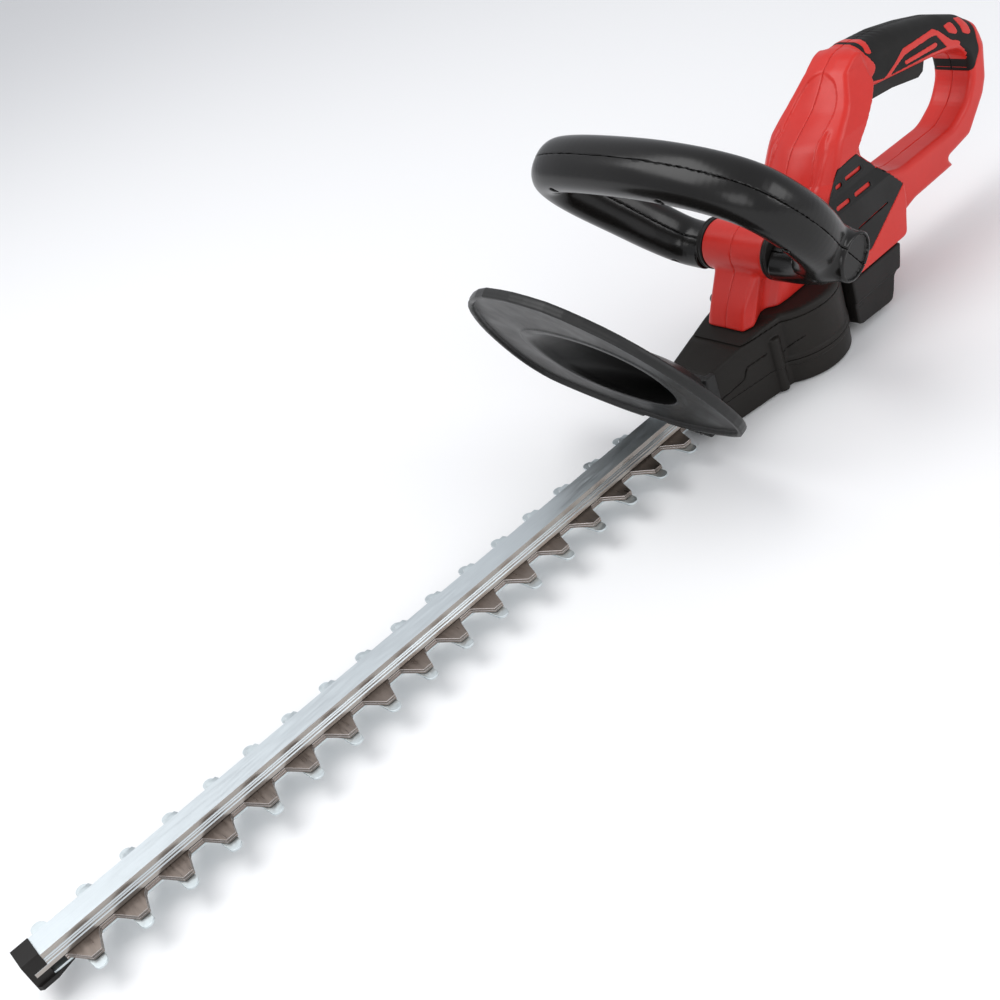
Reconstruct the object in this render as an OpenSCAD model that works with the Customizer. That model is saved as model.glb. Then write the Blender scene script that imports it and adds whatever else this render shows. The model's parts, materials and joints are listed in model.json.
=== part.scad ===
// Cordless hedge trimmer, bare tool without its battery.
// +X points to the blade tip, +Y to the operator's left, +Z up.
// The origin is on the flat underside of the gearcase, on the crank axis.

/* [Cutting set] */
// Number of teeth along each side of the blades
teeth = 17; // [13:1:17]
// Distance from one tooth to the next
pitch = 30; // [28:1:30]
// Distance from the crank axis to the rearmost left tooth
first_tooth = 140; // [138:1:144]
// Half the travel of each blade, which is the crank's throw
throw = 7.5; // [5:0.5:7.5]
// Half width of the blades between the teeth
spine_w = 10.5; // [10:0.25:11]
// Distance from the middle to the end of a blade tooth
tooth_reach = 25; // [22:1:27]
// Distance from the middle to the end of a comb finger
comb_reach = 32.2; // [29:0.1:34]
// Thickness of each blade and of the comb
blade_t = 1.5; // [1.2:0.1:1.6]
// Gap above and below each blade
blade_gap = 0.3; // [0.2:0.05:0.35]
// Height of the guide bar
bar_h = 10; // [9:0.5:11]
// Distance from one bar screw to the next
screw_step = 120; // [110:5:120]

/* [Gearcase] */
// Outer radius of the gear drum
drum_r = 44; // [43.5:0.5:46]
// Height of the joint between the two gearcase halves
seam_z = 20; // [20:0.5:20]
// Height of the drum
drum_top = 58; // [56:1:58]
// Distance from the crank axis to the front of the nose
nose_x = 102; // [98:1:104]
// Half width of the nose at its front
nose_front_w = 18; // [17:0.5:19]
// Half width of the nose where it meets the drum
nose_rear_w = 29; // [27:1:31]
// Casing wall thickness
wall = 3; // [2.5:0.25:3]

/* [Drive] */
// Gear module
gear_m = 1.25; // [1.25]
// Teeth on the crank gear
gear_teeth = 60; // [60]
// Teeth on the motor pinion
pinion_teeth = 12; // [12]
// Radius of the motor can
motor_r = 18.5; // [17:0.5:19]
// Length of the motor can
motor_len = 48; // [44:1:48]

/* [Body] */
// Half width of the motor housing
body_w = 38; // [36:1:40]
// Half width of the rear grip
grip_w = 17.5; // [16:0.5:19]
// Radius of the cross boss that carries the front handle
boss_r = 18; // [17:0.5:19]
// Half length of the cross boss
boss_w = 26.5; // [25:0.5:27]

/* [Front handle] */
// Angle of the handle loop above the horizontal
loop_tilt = 54; // [48:1:60]
// Height of the loop's centre line above the boss
loop_h = 113; // [105:1:118]
// Half width of the loop's centre line
loop_w = 95; // [88:1:100]
// Half thickness of the loop tube, front to back
tube_n = 19; // [17:0.5:20]
// Half thickness of the loop tube, within the loop
tube_u = 15; // [13:0.5:16]

/* [Hand guard] */
// Angle of the guard above the horizontal
guard_tilt = 61; // [57:1:65]
// Half width of the guard
guard_w = 101; // [96:1:104]

/* [Hidden] */
$fn = 64;

// Heights of the stacked cutting set, from the comb up
comb_z = 16.5;
lower_z = comb_z + blade_t + blade_gap;
upper_z = lower_z + blade_t + blade_gap;
bar_z = upper_z + blade_t + blade_gap;
bar_top = bar_z + bar_h;
tip_x = first_tooth + (teeth - 1) * pitch;
bar_rear = 50;
bar_front = tip_x + 29;
cap_x = tip_x + 21;
screw_xs = [for (i = [0 : 4]) tip_x - 12 - i * screw_step];
tip_screw_x = bar_front - 3.5;
pin_r = 4;
bush_r = 4;
screw_r = 2;

// Gearcase
case_screws = [[40, 23.5], [40, -23.5], [88, 15.2], [88, -15.2], [-55, 9], [-55, -9]];
pinion_room = 10;
plate_room = 18;
bearing_r = 11;

// Drive, with the heights of the gears, the crank shaft and the motor's parts
motor_x = -gear_m * (gear_teeth + pinion_teeth) / 2;
gear_z = 26.5;
gear_h = 7;
shaft_top = 50.5;
bearing_h = 6;
bearing_zs = [38, 45];
fan_z = 53;
can_z = 61;
core_z = can_z + 8;
core_h = motor_len - 24;

// Body outlines in the side view (X, Z)
grip_line = [[-102, 181], [-118, 183.5], [-152, 179], [-181, 172], [-210, 163], [-233, 153],
    [-249, 140], [-255, 122]];
strut_line = [[-252, 96], [-246, 84], [-222, 62], [-192, 58], [-198, 49], [-146, 48], [-133, 44.6],
    [-104, 44.2]];
neck_line = [[-24, 58.2], [-20, 62], [-22, 112], [-34, 130], [-43, 141], [-72, 157], [-89, 174],
    [-102, 181], [-112, 182], [-112, 152], [-90, 121], [-92, 108], [-112, 88], [-104, 44.2],
    [-37, 44.2]];
support_plan = [[-31, 23], [18, 23], [26, 19.5], [33, 17.5], [50, 20.5], [58, 14]];
hole_line = [[-90, 121], [-92, 108], [-112, 88], [-136, 79], [-202, 78], [-222, 88], [-233, 104],
    [-231, 122], [-222, 131], [-206, 136], [-186, 140], [-112, 152]];
trigger_slot = [[-112, 134], [-112, 160], [-122, 164], [-178, 163], [-193, 157], [-193, 130]];
switch_line = [[-124, 157], [-124, 175], [-170, 170], [-200, 160], [-200, 150], [-190, 147]];
trigger_x = -121;
trigger_z = 148;
// Half widths of the body at rising heights
widths = [[body_w, 40], [body_w, 98], [34, 108], [32.5, 120], [32, 132], [31, 141], [28.5, 150],
    [26, 157], [22, 165], [18, 173], [grip_w, 175], [grip_w, 200]];
rear_line = [[-71, 126], [-108, 84], [-140, 84], [-140, 190], [-116, 190], [-116, 165], [-100, 149]];
panel_line = [[-33, 108], [-50, 125], [-71, 126], [-108, 84], [-62, 56], [-25, 62], [-25, 92]];
// Slots of the vent panels: middle X, Z and length
vents = [[-63.5, 115, 18], [-46.5, 114, 7], [-66, 101.6, 18], [-44, 101.6, 15]];
cavity_line = [[-25, 62], [-25, 112], [-48, 122], [-70, 122], [-82, 108], [-104, 84], [-97, 56],
    [-60, 55], [-29, 55]];
boss_x = 18.5;
boss_z = 98.5;
skin = 2;
skin_inner = [[-110, 150], [-106, 178], [-119, 181.3], [-152, 176.8], [-180, 169.9], [-209, 161],
    [-231.5, 151.3], [-246.8, 139], [-252.8, 122], [-252, 104], [-236, 104], [-233, 122],
    [-222, 133], [-206, 138], [-186, 142]];

// Housing screws: X, Z and the depth of the head from the middle
housing_points = [[-97, 168, 18], [-243, 101, 18], [-214, 70, 18], [-118, 60, 18], [-30, 118, 24],
    [44, 70, 22], [2, 112, 22]];

// Front handle and hand guard
arm_x = 31.5;
stub_u = 13.5;

// Centre line of the loop, from the left collar round the arch to the right collar
loop_points = [[arm_x - 6, -14], [48, -12.5], [68, -5], [85, 10], [loop_w, 42], [loop_w - 1, 70],
    [loop_w - 11, 94], [62, loop_h - 6], [28, loop_h + 1], [-12, loop_h + 2], [-58, loop_h - 2],
    [2 - 88, loop_h - 11], [-loop_w, loop_h - 28], [4 - loop_w, 64], [-78, 34], [-66, 8],
    [-50, -10], [6 - arm_x, -14]];

// Thickness of the tube beside each point, as a share of its full size
loop_share = [0.82, 0.80, 0.84, 0.94, 1, 1, 1, 1, 1, 1, 1, 1, 1, 1, 0.96, 0.92, 0.88, 0.86];
// Screws of the loop: X, Y and the tube's share there
loop_screws = [[-70, 108, 1], [33, 113.5, 1], [94.5, 62, 1], [86, 12, 0.95], [-53, -9, 0.88]];

// Right half of the guard's outline, from its top round to the middle of its lower edge
guard_half = [[0, 108], [28, 105], [52, 93], [70, 78], [84, 58], [94, 36], [100, 10], [101, -10],
    [98, -24], [90, -36], [74, -44], [56, -50], [36, -55], [20, -57.5], [0, -58]];

// Colours
black = [0.13, 0.12, 0.12];
red = [0.80, 0.16, 0.12];
alloy = [0.78, 0.81, 0.83];
steel = [0.62, 0.58, 0.55];
brass = [0.76, 0.62, 0.32];
copper = [0.72, 0.42, 0.25];

// ---- helpers ----

// Extrudes an outline drawn in the side view (X, Z) to half width w on both sides
module side_slab(w, from = undef) {
    low = from == undef ? -w : from;
    translate([0, w, 0]) rotate([90, 0, 0]) linear_extrude(w - low) children();
}

// Keeps only the +Y (side = 1) or the -Y (side = -1) half of its children
module half(side) {
    intersection() {
        children();
        translate([-500, side > 0 ? 0 : -300, -100]) cube([1400, 300, 500]);
    }
}

module ring(outer, inner, h) {
    difference() {
        cylinder(r = outer, h = h);
        translate([0, 0, -1]) cylinder(r = inner, h = h + 2);
    }
}

module screw(len, r = 1.6, head_r = 3.2, head_h = 2.2) {
    cylinder(r = r, h = len, $fn = 24);
    translate([0, 0, len]) difference() {
        cylinder(r = head_r, h = head_h, $fn = 24);
        translate([0, 0, head_h - 1.2]) cylinder(r = 1.4, h = 2, $fn = 6);
    }
}

// A flat slot with round ends, lying along X
module slot(half_len, r, h) {
    for (s = [-1, 1]) translate([s * (half_len - r), 0, 0]) cylinder(r = r, h = h);
    translate([r - half_len, -r, 0]) cube([2 * (half_len - r), 2 * r, h]);
}

// ---- cutting set ----

function tooth_x(i) = first_tooth + i * pitch;

// Outline of one blade tooth at x, on the side s, from its rear foot to its front foot
function tooth_points(x, s) = [
    [x - 10.5, s * spine_w], [x - 8.4, s * (spine_w + 3)], [x - 4.7, s * tooth_reach],
    [x + 1.9, s * tooth_reach], [x + 8.6, s * (spine_w + 3)], [x + 10.5, s * spine_w]];

// Outline of one comb finger at x, without its round end
function finger_points(x, s) = [
    [x - 8, s * spine_w], [x - 5, s * (spine_w + 3)], [x - 4, s * (comb_reach - 4)],
    [x + 4, s * (comb_reach - 4)], [x + 5, s * (spine_w + 3)], [x + 8, s * spine_w]];

function flat(lists) = [for (l = lists) for (p = l) p];
function back(list) = [for (i = [len(list) - 1 : -1 : 0]) list[i]];

// Both blades: a toothed strip with a wide rear plate that the crank pins work in
module blade() {
    plate_w = 17;
    plate_x = 28;
    pin_sweep = throw + pin_r;
    right = flat([for (i = [0 : teeth - 1]) tooth_points(tooth_x(i) + pitch / 2, -1)]);
    left = flat([for (i = [0 : teeth - 1]) tooth_points(tooth_x(i), 1)]);
    end_x = tip_x + 12;
    tail = [[end_x, spine_w]];
    difference() {
        linear_extrude(blade_t) polygon(concat(
            [[plate_x + 8, -spine_w]],
            [for (i = [0 : len(right) - 2]) right[i]],
            [[tip_x + 20, -spine_w], [end_x, -spine_w]], tail, back(left),
            [[plate_x + 8, spine_w], [plate_x, plate_w], [-plate_x, plate_w],
             [-plate_x, -plate_w], [plate_x, -plate_w]]));
        translate([0, 0, -1]) slot(pin_sweep + throw + blade_gap, pin_sweep + blade_gap, blade_t + 2);
        for (x = screw_xs) translate([x, 0, -1])
            slot(throw + bush_r + blade_gap, bush_r + 0.08, blade_t + 2);
    }
}

module upper_blade() { color(steel) translate([0, 0, upper_z]) blade(); }
module lower_blade() { color(steel) translate([0, 0, lower_z]) blade(); }

module comb() {
    color([0.74, 0.79, 0.80]) translate([0, 0, comb_z]) difference() {
        union() {
            translate([62, -spine_w, 0]) cube([cap_x - 62, 2 * spine_w, blade_t]);
            for (i = [0 : teeth - 1], s = [-1, 1]) {
                x = tooth_x(i) + (s < 0 ? pitch / 2 : 0);
                linear_extrude(blade_t) polygon(finger_points(x, s));
                translate([x, s * (comb_reach - 4), 0]) cylinder(r = 4, h = blade_t);
            }
        }
        for (x = screw_xs) translate([x, 0, -1]) cylinder(r = 2.1, h = blade_t + 2);
    }
}

// Cross-section of the guide bar: a flat top and ribbed, sloping sides
function bar_side(t) = 10 - 1.4 * t;
bar_grooves = [0.3, 0.5, 0.64];
bar_flank = flat([[[bar_side(0), 0]],
    flat([for (t = bar_grooves) [[bar_side(t - 0.06), bar_h * (t - 0.06)],
        [bar_side(t) - 0.5, bar_h * t], [bar_side(t + 0.06), bar_h * (t + 0.06)]]]),
    [[bar_side(1), bar_h]]]);

module bar_section() { polygon(concat(bar_flank, [for (p = back(bar_flank)) [-p[0], p[1]]])); }

module guide_bar() {
    color(alloy) difference() {
        translate([bar_rear, 0, bar_z]) rotate([90, 0, 90])
            linear_extrude(bar_front - bar_rear) bar_section();
        for (x = screw_xs) translate([x, 0, bar_z - 1]) cylinder(r = screw_r, h = 9);
        translate([tip_screw_x, 0, bar_z - 1]) cylinder(r = 1.25, h = 8);
    }
}

// Countersunk-style screws from below that hold the comb and the bushes to the bar
module bar_screws() {
    color(steel) for (x = screw_xs) translate([x, 0, comb_z]) {
        translate([0, 0, -2.4]) difference() {
            cylinder(r = 4, h = 2.4);
            translate([0, 0, -1]) cylinder(r = 1.6, h = 2.2, $fn = 6);
        }
        cylinder(r = screw_r, h = bar_z - comb_z + 7);
    }
}

module blade_bushes() {
    color(brass) for (x = screw_xs) translate([x, 0, comb_z + blade_t])
        ring(bush_r, screw_r, bar_z - comb_z - blade_t);
}

// Moulded cap over the end of the bar, which carries the comb's tip
module tip_cap() {
    length = 11;
    color(black) difference() {
        union() {
            translate([cap_x, 0, comb_z - 0.3]) rotate([90, 0, 90]) linear_extrude(length)
                polygon([[-9.8, 0], [9.8, 0], [9.8, 6], [8.9, bar_top - comb_z + 0.6],
                    [7.9, bar_top - comb_z + 1.4], [-7.9, bar_top - comb_z + 1.4],
                    [-8.9, bar_top - comb_z + 0.6], [-9.8, 6]]);
            translate([cap_x - 12, 0, comb_z - 3]) linear_extrude(3)
                polygon([[0, -8], [12, -11.5], [12 + length - 2, -11.5], [12 + length, -9.5],
                    [12 + length, 9.5], [12 + length - 2, 11.5], [12, 11.5], [0, 8]]);
        }
        translate([cap_x - 1, 0, bar_z]) rotate([90, 0, 90])
            linear_extrude(bar_front - cap_x + 1) bar_section();
        translate([tip_screw_x, 0, 0]) cylinder(r = 1.25, h = bar_z + 1);
    }
}

module tip_screw() {
    color(steel) translate([tip_screw_x, 0, bar_z + 6]) rotate([180, 0, 0])
        screw(bar_z - comb_z + 9, r = 1.25, head_r = 2.6, head_h = 1.6);
}

// ---- gearcase ----

// Plan of the gearcase: drum, tapering nose and the lobe round the pinion
module case_plan(inset = 0) {
    circle(r = drum_r - inset, $fn = 128);
    polygon([[0, nose_rear_w + 6 - inset], [34, nose_rear_w - inset], [nose_x, nose_front_w - inset],
        [nose_x, inset - nose_front_w], [34, inset - nose_rear_w], [0, inset - nose_rear_w - 6]]);
    translate([motor_x, 0]) circle(r = 17 - inset);
    translate([motor_x, inset - 17]) square([-motor_x, 2 * (17 - inset)]);
}

// Room for the blades' strip, the comb and their travel
module blade_room() {
    room_z = comb_z;
    translate([0, 0, room_z]) cylinder(r = drum_r - wall, h = seam_z + 20 - room_z);
    translate([20, -spine_w - 0.5, room_z]) cube([nose_x, 2 * spine_w + 1, bar_z - room_z]);
    translate([20, -plate_room, lower_z - blade_gap])
        cube([40, 2 * plate_room, bar_z - lower_z + blade_gap]);
}

module gearcase_lower() {
    color(black) difference() {
        union() {
            translate([0, 0, 1.5]) linear_extrude(seam_z - 1.5) case_plan();
            linear_extrude(1.5) case_plan(1.5);
            translate([0, 0, seam_z - 4]) linear_extrude(4) intersection() {
                circle(r = drum_r + 1.2, $fn = 128);
                translate([-40, -60]) square([74, 120]);
            }
        }
        blade_room();
        translate([0, 0, wall]) cylinder(r = 12, h = seam_z);
        translate([motor_x, 0, wall]) cylinder(r = 5, h = seam_z);
        translate([motor_x, 0, 12]) cylinder(r = pinion_room, h = seam_z);
        for (p = case_screws) translate([p[0], p[1], -1]) cylinder(r = 1.6, h = seam_z + 2, $fn = 24);
        for (p = case_screws) translate([p[0], p[1], -1]) cylinder(r = 3.4, h = 4, $fn = 24);
        translate([motor_x + 4, -9, comb_z]) cube([20, 18, seam_z]);
        guard_screw_places() cylinder(r = 1.5, h = 22, $fn = 24);
    }
}

module gearcase_upper() {
    nose_top = 48;
    nose_back = 60;
    gear_room = 38;
    color(black) difference() {
        union() {
            translate([0, 0, seam_z]) rotate_extrude($fn = 128) polygon([[0, 0], [drum_r + 1.2, 0],
                [drum_r + 1.2, 2.5], [drum_r, 3.5], [drum_r, 28], [drum_r - 1.2, 29],
                [drum_r - 1.2, 32], [drum_r - 3, drum_top - seam_z - 2],
                [drum_r - 6, drum_top - seam_z], [0, drum_top - seam_z]]);
            intersection() {
                translate([0, 0, seam_z]) linear_extrude(nose_back - seam_z) case_plan();
                side_slab(60) polygon([[motor_x - 20, seam_z], [nose_x, seam_z], [nose_x, nose_top - 3],
                    [nose_x - 3, nose_top], [50, nose_back - 4], [20, drum_top], [-20, drum_top - 2],
                    [-20, 50], [motor_x - 20, 50]]);
            }
            for (s = [-1, 1]) translate([32, s * (nose_rear_w - 1), seam_z]) mirror([0, s < 0 ? 1 : 0, 0])
                translate([-3, 0, 0]) cube([6, 4.5, 22]);
        }
        translate([0, 0, seam_z - 1]) cylinder(r = drum_r - wall, h = gear_room - seam_z + 1);
        translate([20, -spine_w - 0.5, seam_z - 1]) cube([nose_x, 2 * spine_w + 1, bar_z - seam_z + 1]);
        translate([20, -plate_room, seam_z - 1]) cube([40, 2 * plate_room, bar_z - seam_z + 1]);
        translate([bar_rear - 1, 0, bar_z]) rotate([90, 0, 90])
            linear_extrude(nose_x) bar_section();
        translate([0, 0, gear_room - 1]) cylinder(r = bearing_r, h = 14);
        on_motor(fan_z - 1) cylinder(r = 23, h = 12);
        on_motor(seam_z - 1) cylinder(r = pinion_room, h = 36);
        translate([motor_x, -8, seam_z - 1]) cube([20, 16, gear_room - seam_z + 1]);
        for (p = case_screws) translate([p[0], p[1], seam_z - 1]) cylinder(r = 1.3, h = 12, $fn = 24);
    }
}

module gearcase_screws() {
    color(steel) for (p = case_screws) translate([p[0], p[1], 3]) mirror([0, 0, 1])
        translate([0, 0, -24]) screw(24, r = 1.3, head_r = 3);
}

// Felt strip round the blades where they leave the nose
module felt_wiper() {
    color([0.45, 0.42, 0.36]) translate([nose_x + 0.2, 0, comb_z]) difference() {
        translate([0, -17, -3]) cube([3, 34, bar_top - comb_z + 5]);
        translate([-1, -spine_w - 0.5, 0]) cube([5, 2 * spine_w + 1, bar_z - comb_z]);
        translate([-1, 0, bar_z - comb_z]) rotate([90, 0, 90]) linear_extrude(5) bar_section();
    }
}

// ---- drive ----

// Involute flank: the point where the unwound base circle reaches radius r
function involute_angle(base, r) = r <= base ? 0 : sqrt(pow(r / base, 2) - 1) * 180 / PI - acos(base / r);

// Outline of a spur gear with involute flanks and play between the teeth
function gear_points(z, m, play = 0.25) =
    let (r = z * m / 2, base = r * cos(20), tip = r + 0.8 * m, root = r - 1.25 * m,
         half_tooth = 90 / z - play / r * 180 / PI / 2,
         lean = involute_angle(base, r),
         radii = [max(root, base), (max(root, base) + r) / 2, r, (r + tip) / 2, tip])
    [for (i = [0 : z - 1]) let (c = i * 360 / z) each concat(
        [[root, c - half_tooth - lean - 0.3]],
        [for (q = radii) [q, c - half_tooth - lean + involute_angle(base, q)]],
        [for (k = [4 : -1 : 0]) [radii[k], c + half_tooth + lean - involute_angle(base, radii[k])]],
        [[root, c + half_tooth + lean + 0.3]])];

module gear(z, m, h) {
    linear_extrude(h) polygon([for (p = gear_points(z, m)) [p[0] * cos(p[1]), p[0] * sin(p[1])]]);
}

module crank_gear() {
    color(steel) translate([0, 0, gear_z]) difference() {
        union() {
            gear(gear_teeth, gear_m, gear_h);
            translate([0, 0, -2.5]) cylinder(r = 15, h = 3);
        }
        translate([0, 0, -4]) cylinder(r = 5, h = gear_h + 6);
        for (s = [-1, 1]) translate([s * throw, 0, -4]) cylinder(r = 2, h = 7);
        for (a = [30 : 60 : 359]) rotate(a) translate([24, 0, -1]) cylinder(r = 6, h = gear_h + 2);
    }
}

module crank_shaft() {
    color(steel) translate([0, 0, gear_z - 2.5]) cylinder(r = 5, h = shaft_top - gear_z + 2.5);
}

// Two pins, half a turn apart: a short one for the upper blade, a long one for the lower
module crank_pins() {
    root_z = gear_z - 2.5;
    color(steel) for (s = [-1, 1]) translate([s * throw, 0, 0]) {
        foot_z = s > 0 ? upper_z + 0.1 : lower_z + 0.1;
        translate([0, 0, foot_z]) cylinder(r = pin_r, h = root_z - foot_z);
        translate([0, 0, root_z]) cylinder(r = 2, h = 5);
    }
}

module crank_bearings() {
    color(alloy) for (z = bearing_zs) translate([0, 0, z]) {
        ring(7, 5.03, bearing_h);
        ring(bearing_r, 9, bearing_h);
        translate([0, 0, 1]) ring(9, 7, bearing_h - 2);
    }
}

module on_motor(z) { translate([motor_x, 0, z]) children(); }

module rotor_shaft() { color(steel) on_motor(4) cylinder(r = 2.5, h = can_z + motor_len); }

module pinion() {
    color(brass) on_motor(gear_z - 0.5) difference() {
        rotate(180 / pinion_teeth) gear(pinion_teeth, gear_m, gear_h + 1);
        translate([0, 0, -1]) cylinder(r = 2.5, h = gear_h + 3);
    }
}

module pinion_bush() { color(brass) on_motor(wall + 1) ring(5, 2.53, 6); }

// Laminated core with winding slots
module rotor_core() {
    color(copper) on_motor(core_z) difference() {
        cylinder(r = 13, h = core_h);
        translate([0, 0, -1]) cylinder(r = 2.5, h = core_h + 2);
        for (a = [0 : 72 : 359]) rotate(a) translate([11.5, -1, -1]) cube([3, 2, core_h + 2]);
    }
}

module commutator() { color(copper) on_motor(core_z + core_h + 1) ring(6, 2.5, 9); }

module cooling_fan() {
    color(black) on_motor(fan_z) difference() {
        union() {
            cylinder(r = 22, h = 1.5);
            cylinder(r = 7, h = 6.5);
            for (a = [0 : 40 : 359]) rotate(a) translate([5, -0.8, 0]) cube([16.5, 1.6, 6.5]);
        }
        translate([0, 0, -1]) cylinder(r = 2.5, h = 9);
    }
}

module motor_can() {
    color(alloy) on_motor(can_z) difference() {
        cylinder(r = motor_r, h = motor_len);
        translate([0, 0, 2]) cylinder(r = motor_r - 1.5, h = motor_len);
        translate([0, 0, -1]) cylinder(r = 6, h = 4);
    }
}

module motor_end_cap() {
    color(black) on_motor(can_z + motor_len) difference() {
        union() {
            cylinder(r = motor_r, h = 2);
            translate([0, 0, -4]) ring(motor_r - 1.5, motor_r - 3.5, 4);
        }
        translate([0, 0, -1]) cylinder(r = 6, h = 4);
    }
}

module motor_bearings() {
    color(brass) {
        on_motor(can_z) ring(6, 2.53, 4);
        on_motor(can_z + motor_len - 2) ring(6, 2.53, 4);
    }
}

module motor_magnets() {
    color([0.25, 0.25, 0.27]) on_motor(can_z + 6) for (a = [0, 180]) rotate(a) intersection() {
        ring(motor_r - 1.5, 14, motor_len - 14);
        translate([-12, 0, 0]) cube([24, 20, motor_len]);
    }
}

module brush_holders() {
    color(brass) on_motor(core_z + core_h + 3) for (s = [-1, 1])
        translate([s > 0 ? 6.3 : -12.3, -2.5, 0]) cube([6, 5, 5]);
}

// Lower housing behind the drum, which closes the fan chamber
module motor_pod() {
    ledge_z = 25;
    color(black) difference() {
        side_slab(body_w) polygon([[-36, 9], [-40, 6.5], [-73, 4.5], [-77, 5.4], [-79.7, 10.5],
            [-83.4, 22.4], [-89.6, 25.3], [-91.3, 31.8], [-94.1, 44], [-36, 44]]);
        side_slab(body_w - wall - 1.2) polygon([[-39, 12], [-43, 9.5], [-72, 7.6], [-74.5, 8.5],
            [-76.8, 13], [-80.8, 25.2], [-87, 28], [-88.4, 33], [-90.4, 41], [-39, 41]]);
        for (s = [-1, 1]) translate([-100, s * (body_w + 3.8) - 5, 0]) cube([80, 10, ledge_z]);
        side_slab(17.3) polygon([[-30, 0], [-62.3, 0], [-62.3, 45], [-30, 45]]);
        translate([-44, 0, 0]) cylinder(r = 23, h = 60);
        translate([0, 0, -1]) cylinder(r = drum_r + 1.5, h = 60);
        for (s = [-1, 1], k = [0 : 3]) translate([-69 + k * 5, s * 26 - 7, 3]) cube([2.4, 14, 10]);
    }
}

// ---- red housing ----

// Extrudes the body's front-view outline, made narrower by an inset, along the body
module front_slab(inset = 0) {
    line = [for (w = widths) [w[0] - inset, w[1]]];
    translate([-300, 0, 0]) rotate([90, 0, 90]) linear_extrude(400)
        polygon(concat(line, [for (p = back(line)) [-p[0], p[1]]]));
}

// The neck: its front corners slope away, and it is no wider than the grip behind its rear edge
module neck() {
    lean = [1, 0.8, 1];
    difference() {
        intersection() {
            side_slab(body_w) polygon(neck_line);
            front_slab();
        }
        for (s = [-1, 1]) {
            side_slab(s > 0 ? body_w + 1 : -grip_w - 1.5, from = s > 0 ? grip_w + 1.5 : -body_w - 1)
                polygon(rear_line);
            mirror([0, s < 0 ? 1 : 0, 0]) rotate([0, acos(lean[2] / norm(lean)), atan2(lean[1], lean[0])])
                translate([-200, -200, 105.6 / norm(lean)]) cube([400, 400, 100]);
        }
    }
}

module body_solid() {
    neck();
    intersection() {
        side_slab(boss_w) polygon([[-30, 58.2], [20, 58.2], [50, 56.2], [57, 55.4], [56, 60],
            [52.5, 69.5], [43.5, 79.5], [34.5, 90], [32, 106], [20, 116], [-30, 124]]);
        linear_extrude(200) polygon(concat(support_plan, [for (p = back(support_plan)) [p[0], -p[1]]]));
    }
    translate([boss_x, boss_w, boss_z]) rotate([90, 0, 0]) cylinder(r = boss_r, h = 2 * boss_w);
    side_slab(grip_w) difference() {
        polygon(concat([[-80, 150]], grip_line, strut_line, [[-80, 60]]));
        polygon(hole_line);
    }
}

// The layer of the grip that the rubber skins take up
module skin_zone() {
    difference() {
        side_slab(grip_w + 1) polygon([[-113, 200], [-111, 174], [-118, 155], [-187, 143.5],
            [-208, 139.5], [-223, 133.5], [-232, 126], [-238, 112], [-262, 108], [-262, 200]]);
        side_slab(grip_w - skin) polygon(skin_inner);
    }
}

module body_hollows() {
    intersection() {
        side_slab(body_w - wall) polygon(cavity_line);
        front_slab(wall);
    }
    side_slab(8.3) polygon(trigger_slot);
    side_slab(12) polygon(switch_line);
    side_slab(14.5) polygon([[-140, 40], [-140, 66], [-196, 66], [-200, 62], [-200, 40]]);
    on_motor(40) cylinder(r = 23, h = 20.6);
    cylinder(r = drum_r + 0.2, h = drum_top + 0.2);
    translate([trigger_x, 13, trigger_z]) rotate([90, 0, 0]) cylinder(r = 2, h = 26);
    skin_zone();
    linear_extrude(50.3) case_plan(-0.3);
    translate([boss_x, 40, boss_z]) rotate([90, 0, 0]) cylinder(r = 4, h = 80);
    for (s = [-1, 1]) panel_zone(s);
}

// The sunk place of the vent panel on one side
module panel_zone(side, depth = 1.6) {
    difference() {
        side_slab(side > 0 ? body_w + 1 : -10, from = side > 0 ? 10 : -body_w - 1) polygon(panel_line);
        front_slab(depth);
    }
}

// Ribs that hold the motor in the housing
module motor_ribs() {
    for (z = [can_z + 2, can_z + motor_len - 9]) on_motor(z) difference() {
        translate([-35, -body_w, 0]) cube([54, 2 * body_w, 3]);
        translate([0, 0, -1]) cylinder(r = motor_r, h = 5);
    }
}

module housing_half(side) {
    color(red) half(side) difference() {
        union() {
            difference() {
                body_solid();
                body_hollows();
            }
            intersection() {
                motor_ribs();
                body_solid();
                front_slab(2);
            }
        }
        for (p = housing_points) translate([p[0], -60, p[1]]) rotate([-90, 0, 0])
            cylinder(r = 1.6, h = 120, $fn = 24);
        for (p = housing_points) translate([p[0], -60, p[1]]) rotate([-90, 0, 0])
            cylinder(r = 3.4, h = 60 - (p[2] - 5.5), $fn = 24);
    }
}

module housing_left() { housing_half(1); }
module housing_right() { housing_half(-1); }

module housing_screws() {
    color(steel) for (p = housing_points) translate([p[0], 12, p[1]]) rotate([90, 0, 0])
        screw(12 + p[2] - 5.5, r = 1.6, head_r = 3.2);
}

// Rubber skins let into the grip
module grip_skin(side) {
    color(black) half(side) intersection() {
        side_slab(grip_w) polygon(concat([[-100, 150]], grip_line, [[-252, 96], [-233, 104]]));
        skin_zone();
    }
}

module grip_left() { grip_skin(1); }
module grip_right() { grip_skin(-1); }

module vent_panel(side) {
    color(black) difference() {
        intersection() {
            panel_zone(side, 1.55);
            front_slab(0.2);
            body_solid();
        }
        for (v = vents) translate([v[0] - v[2] / 2, side > 0 ? 0 : -100, v[1] - 1.5]) cube([v[2], 100, 3]);
    }
}

module vent_panel_left() { vent_panel(1); }
module vent_panel_right() { vent_panel(-1); }

// ---- front handle ----

// The loop's frame: X across, Y up the loop, Z out of its front
module loop_frame() {
    translate([30, 0, 108]) rotate([0, -loop_tilt, 0]) rotate([180, 0, 90]) children();
}

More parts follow.
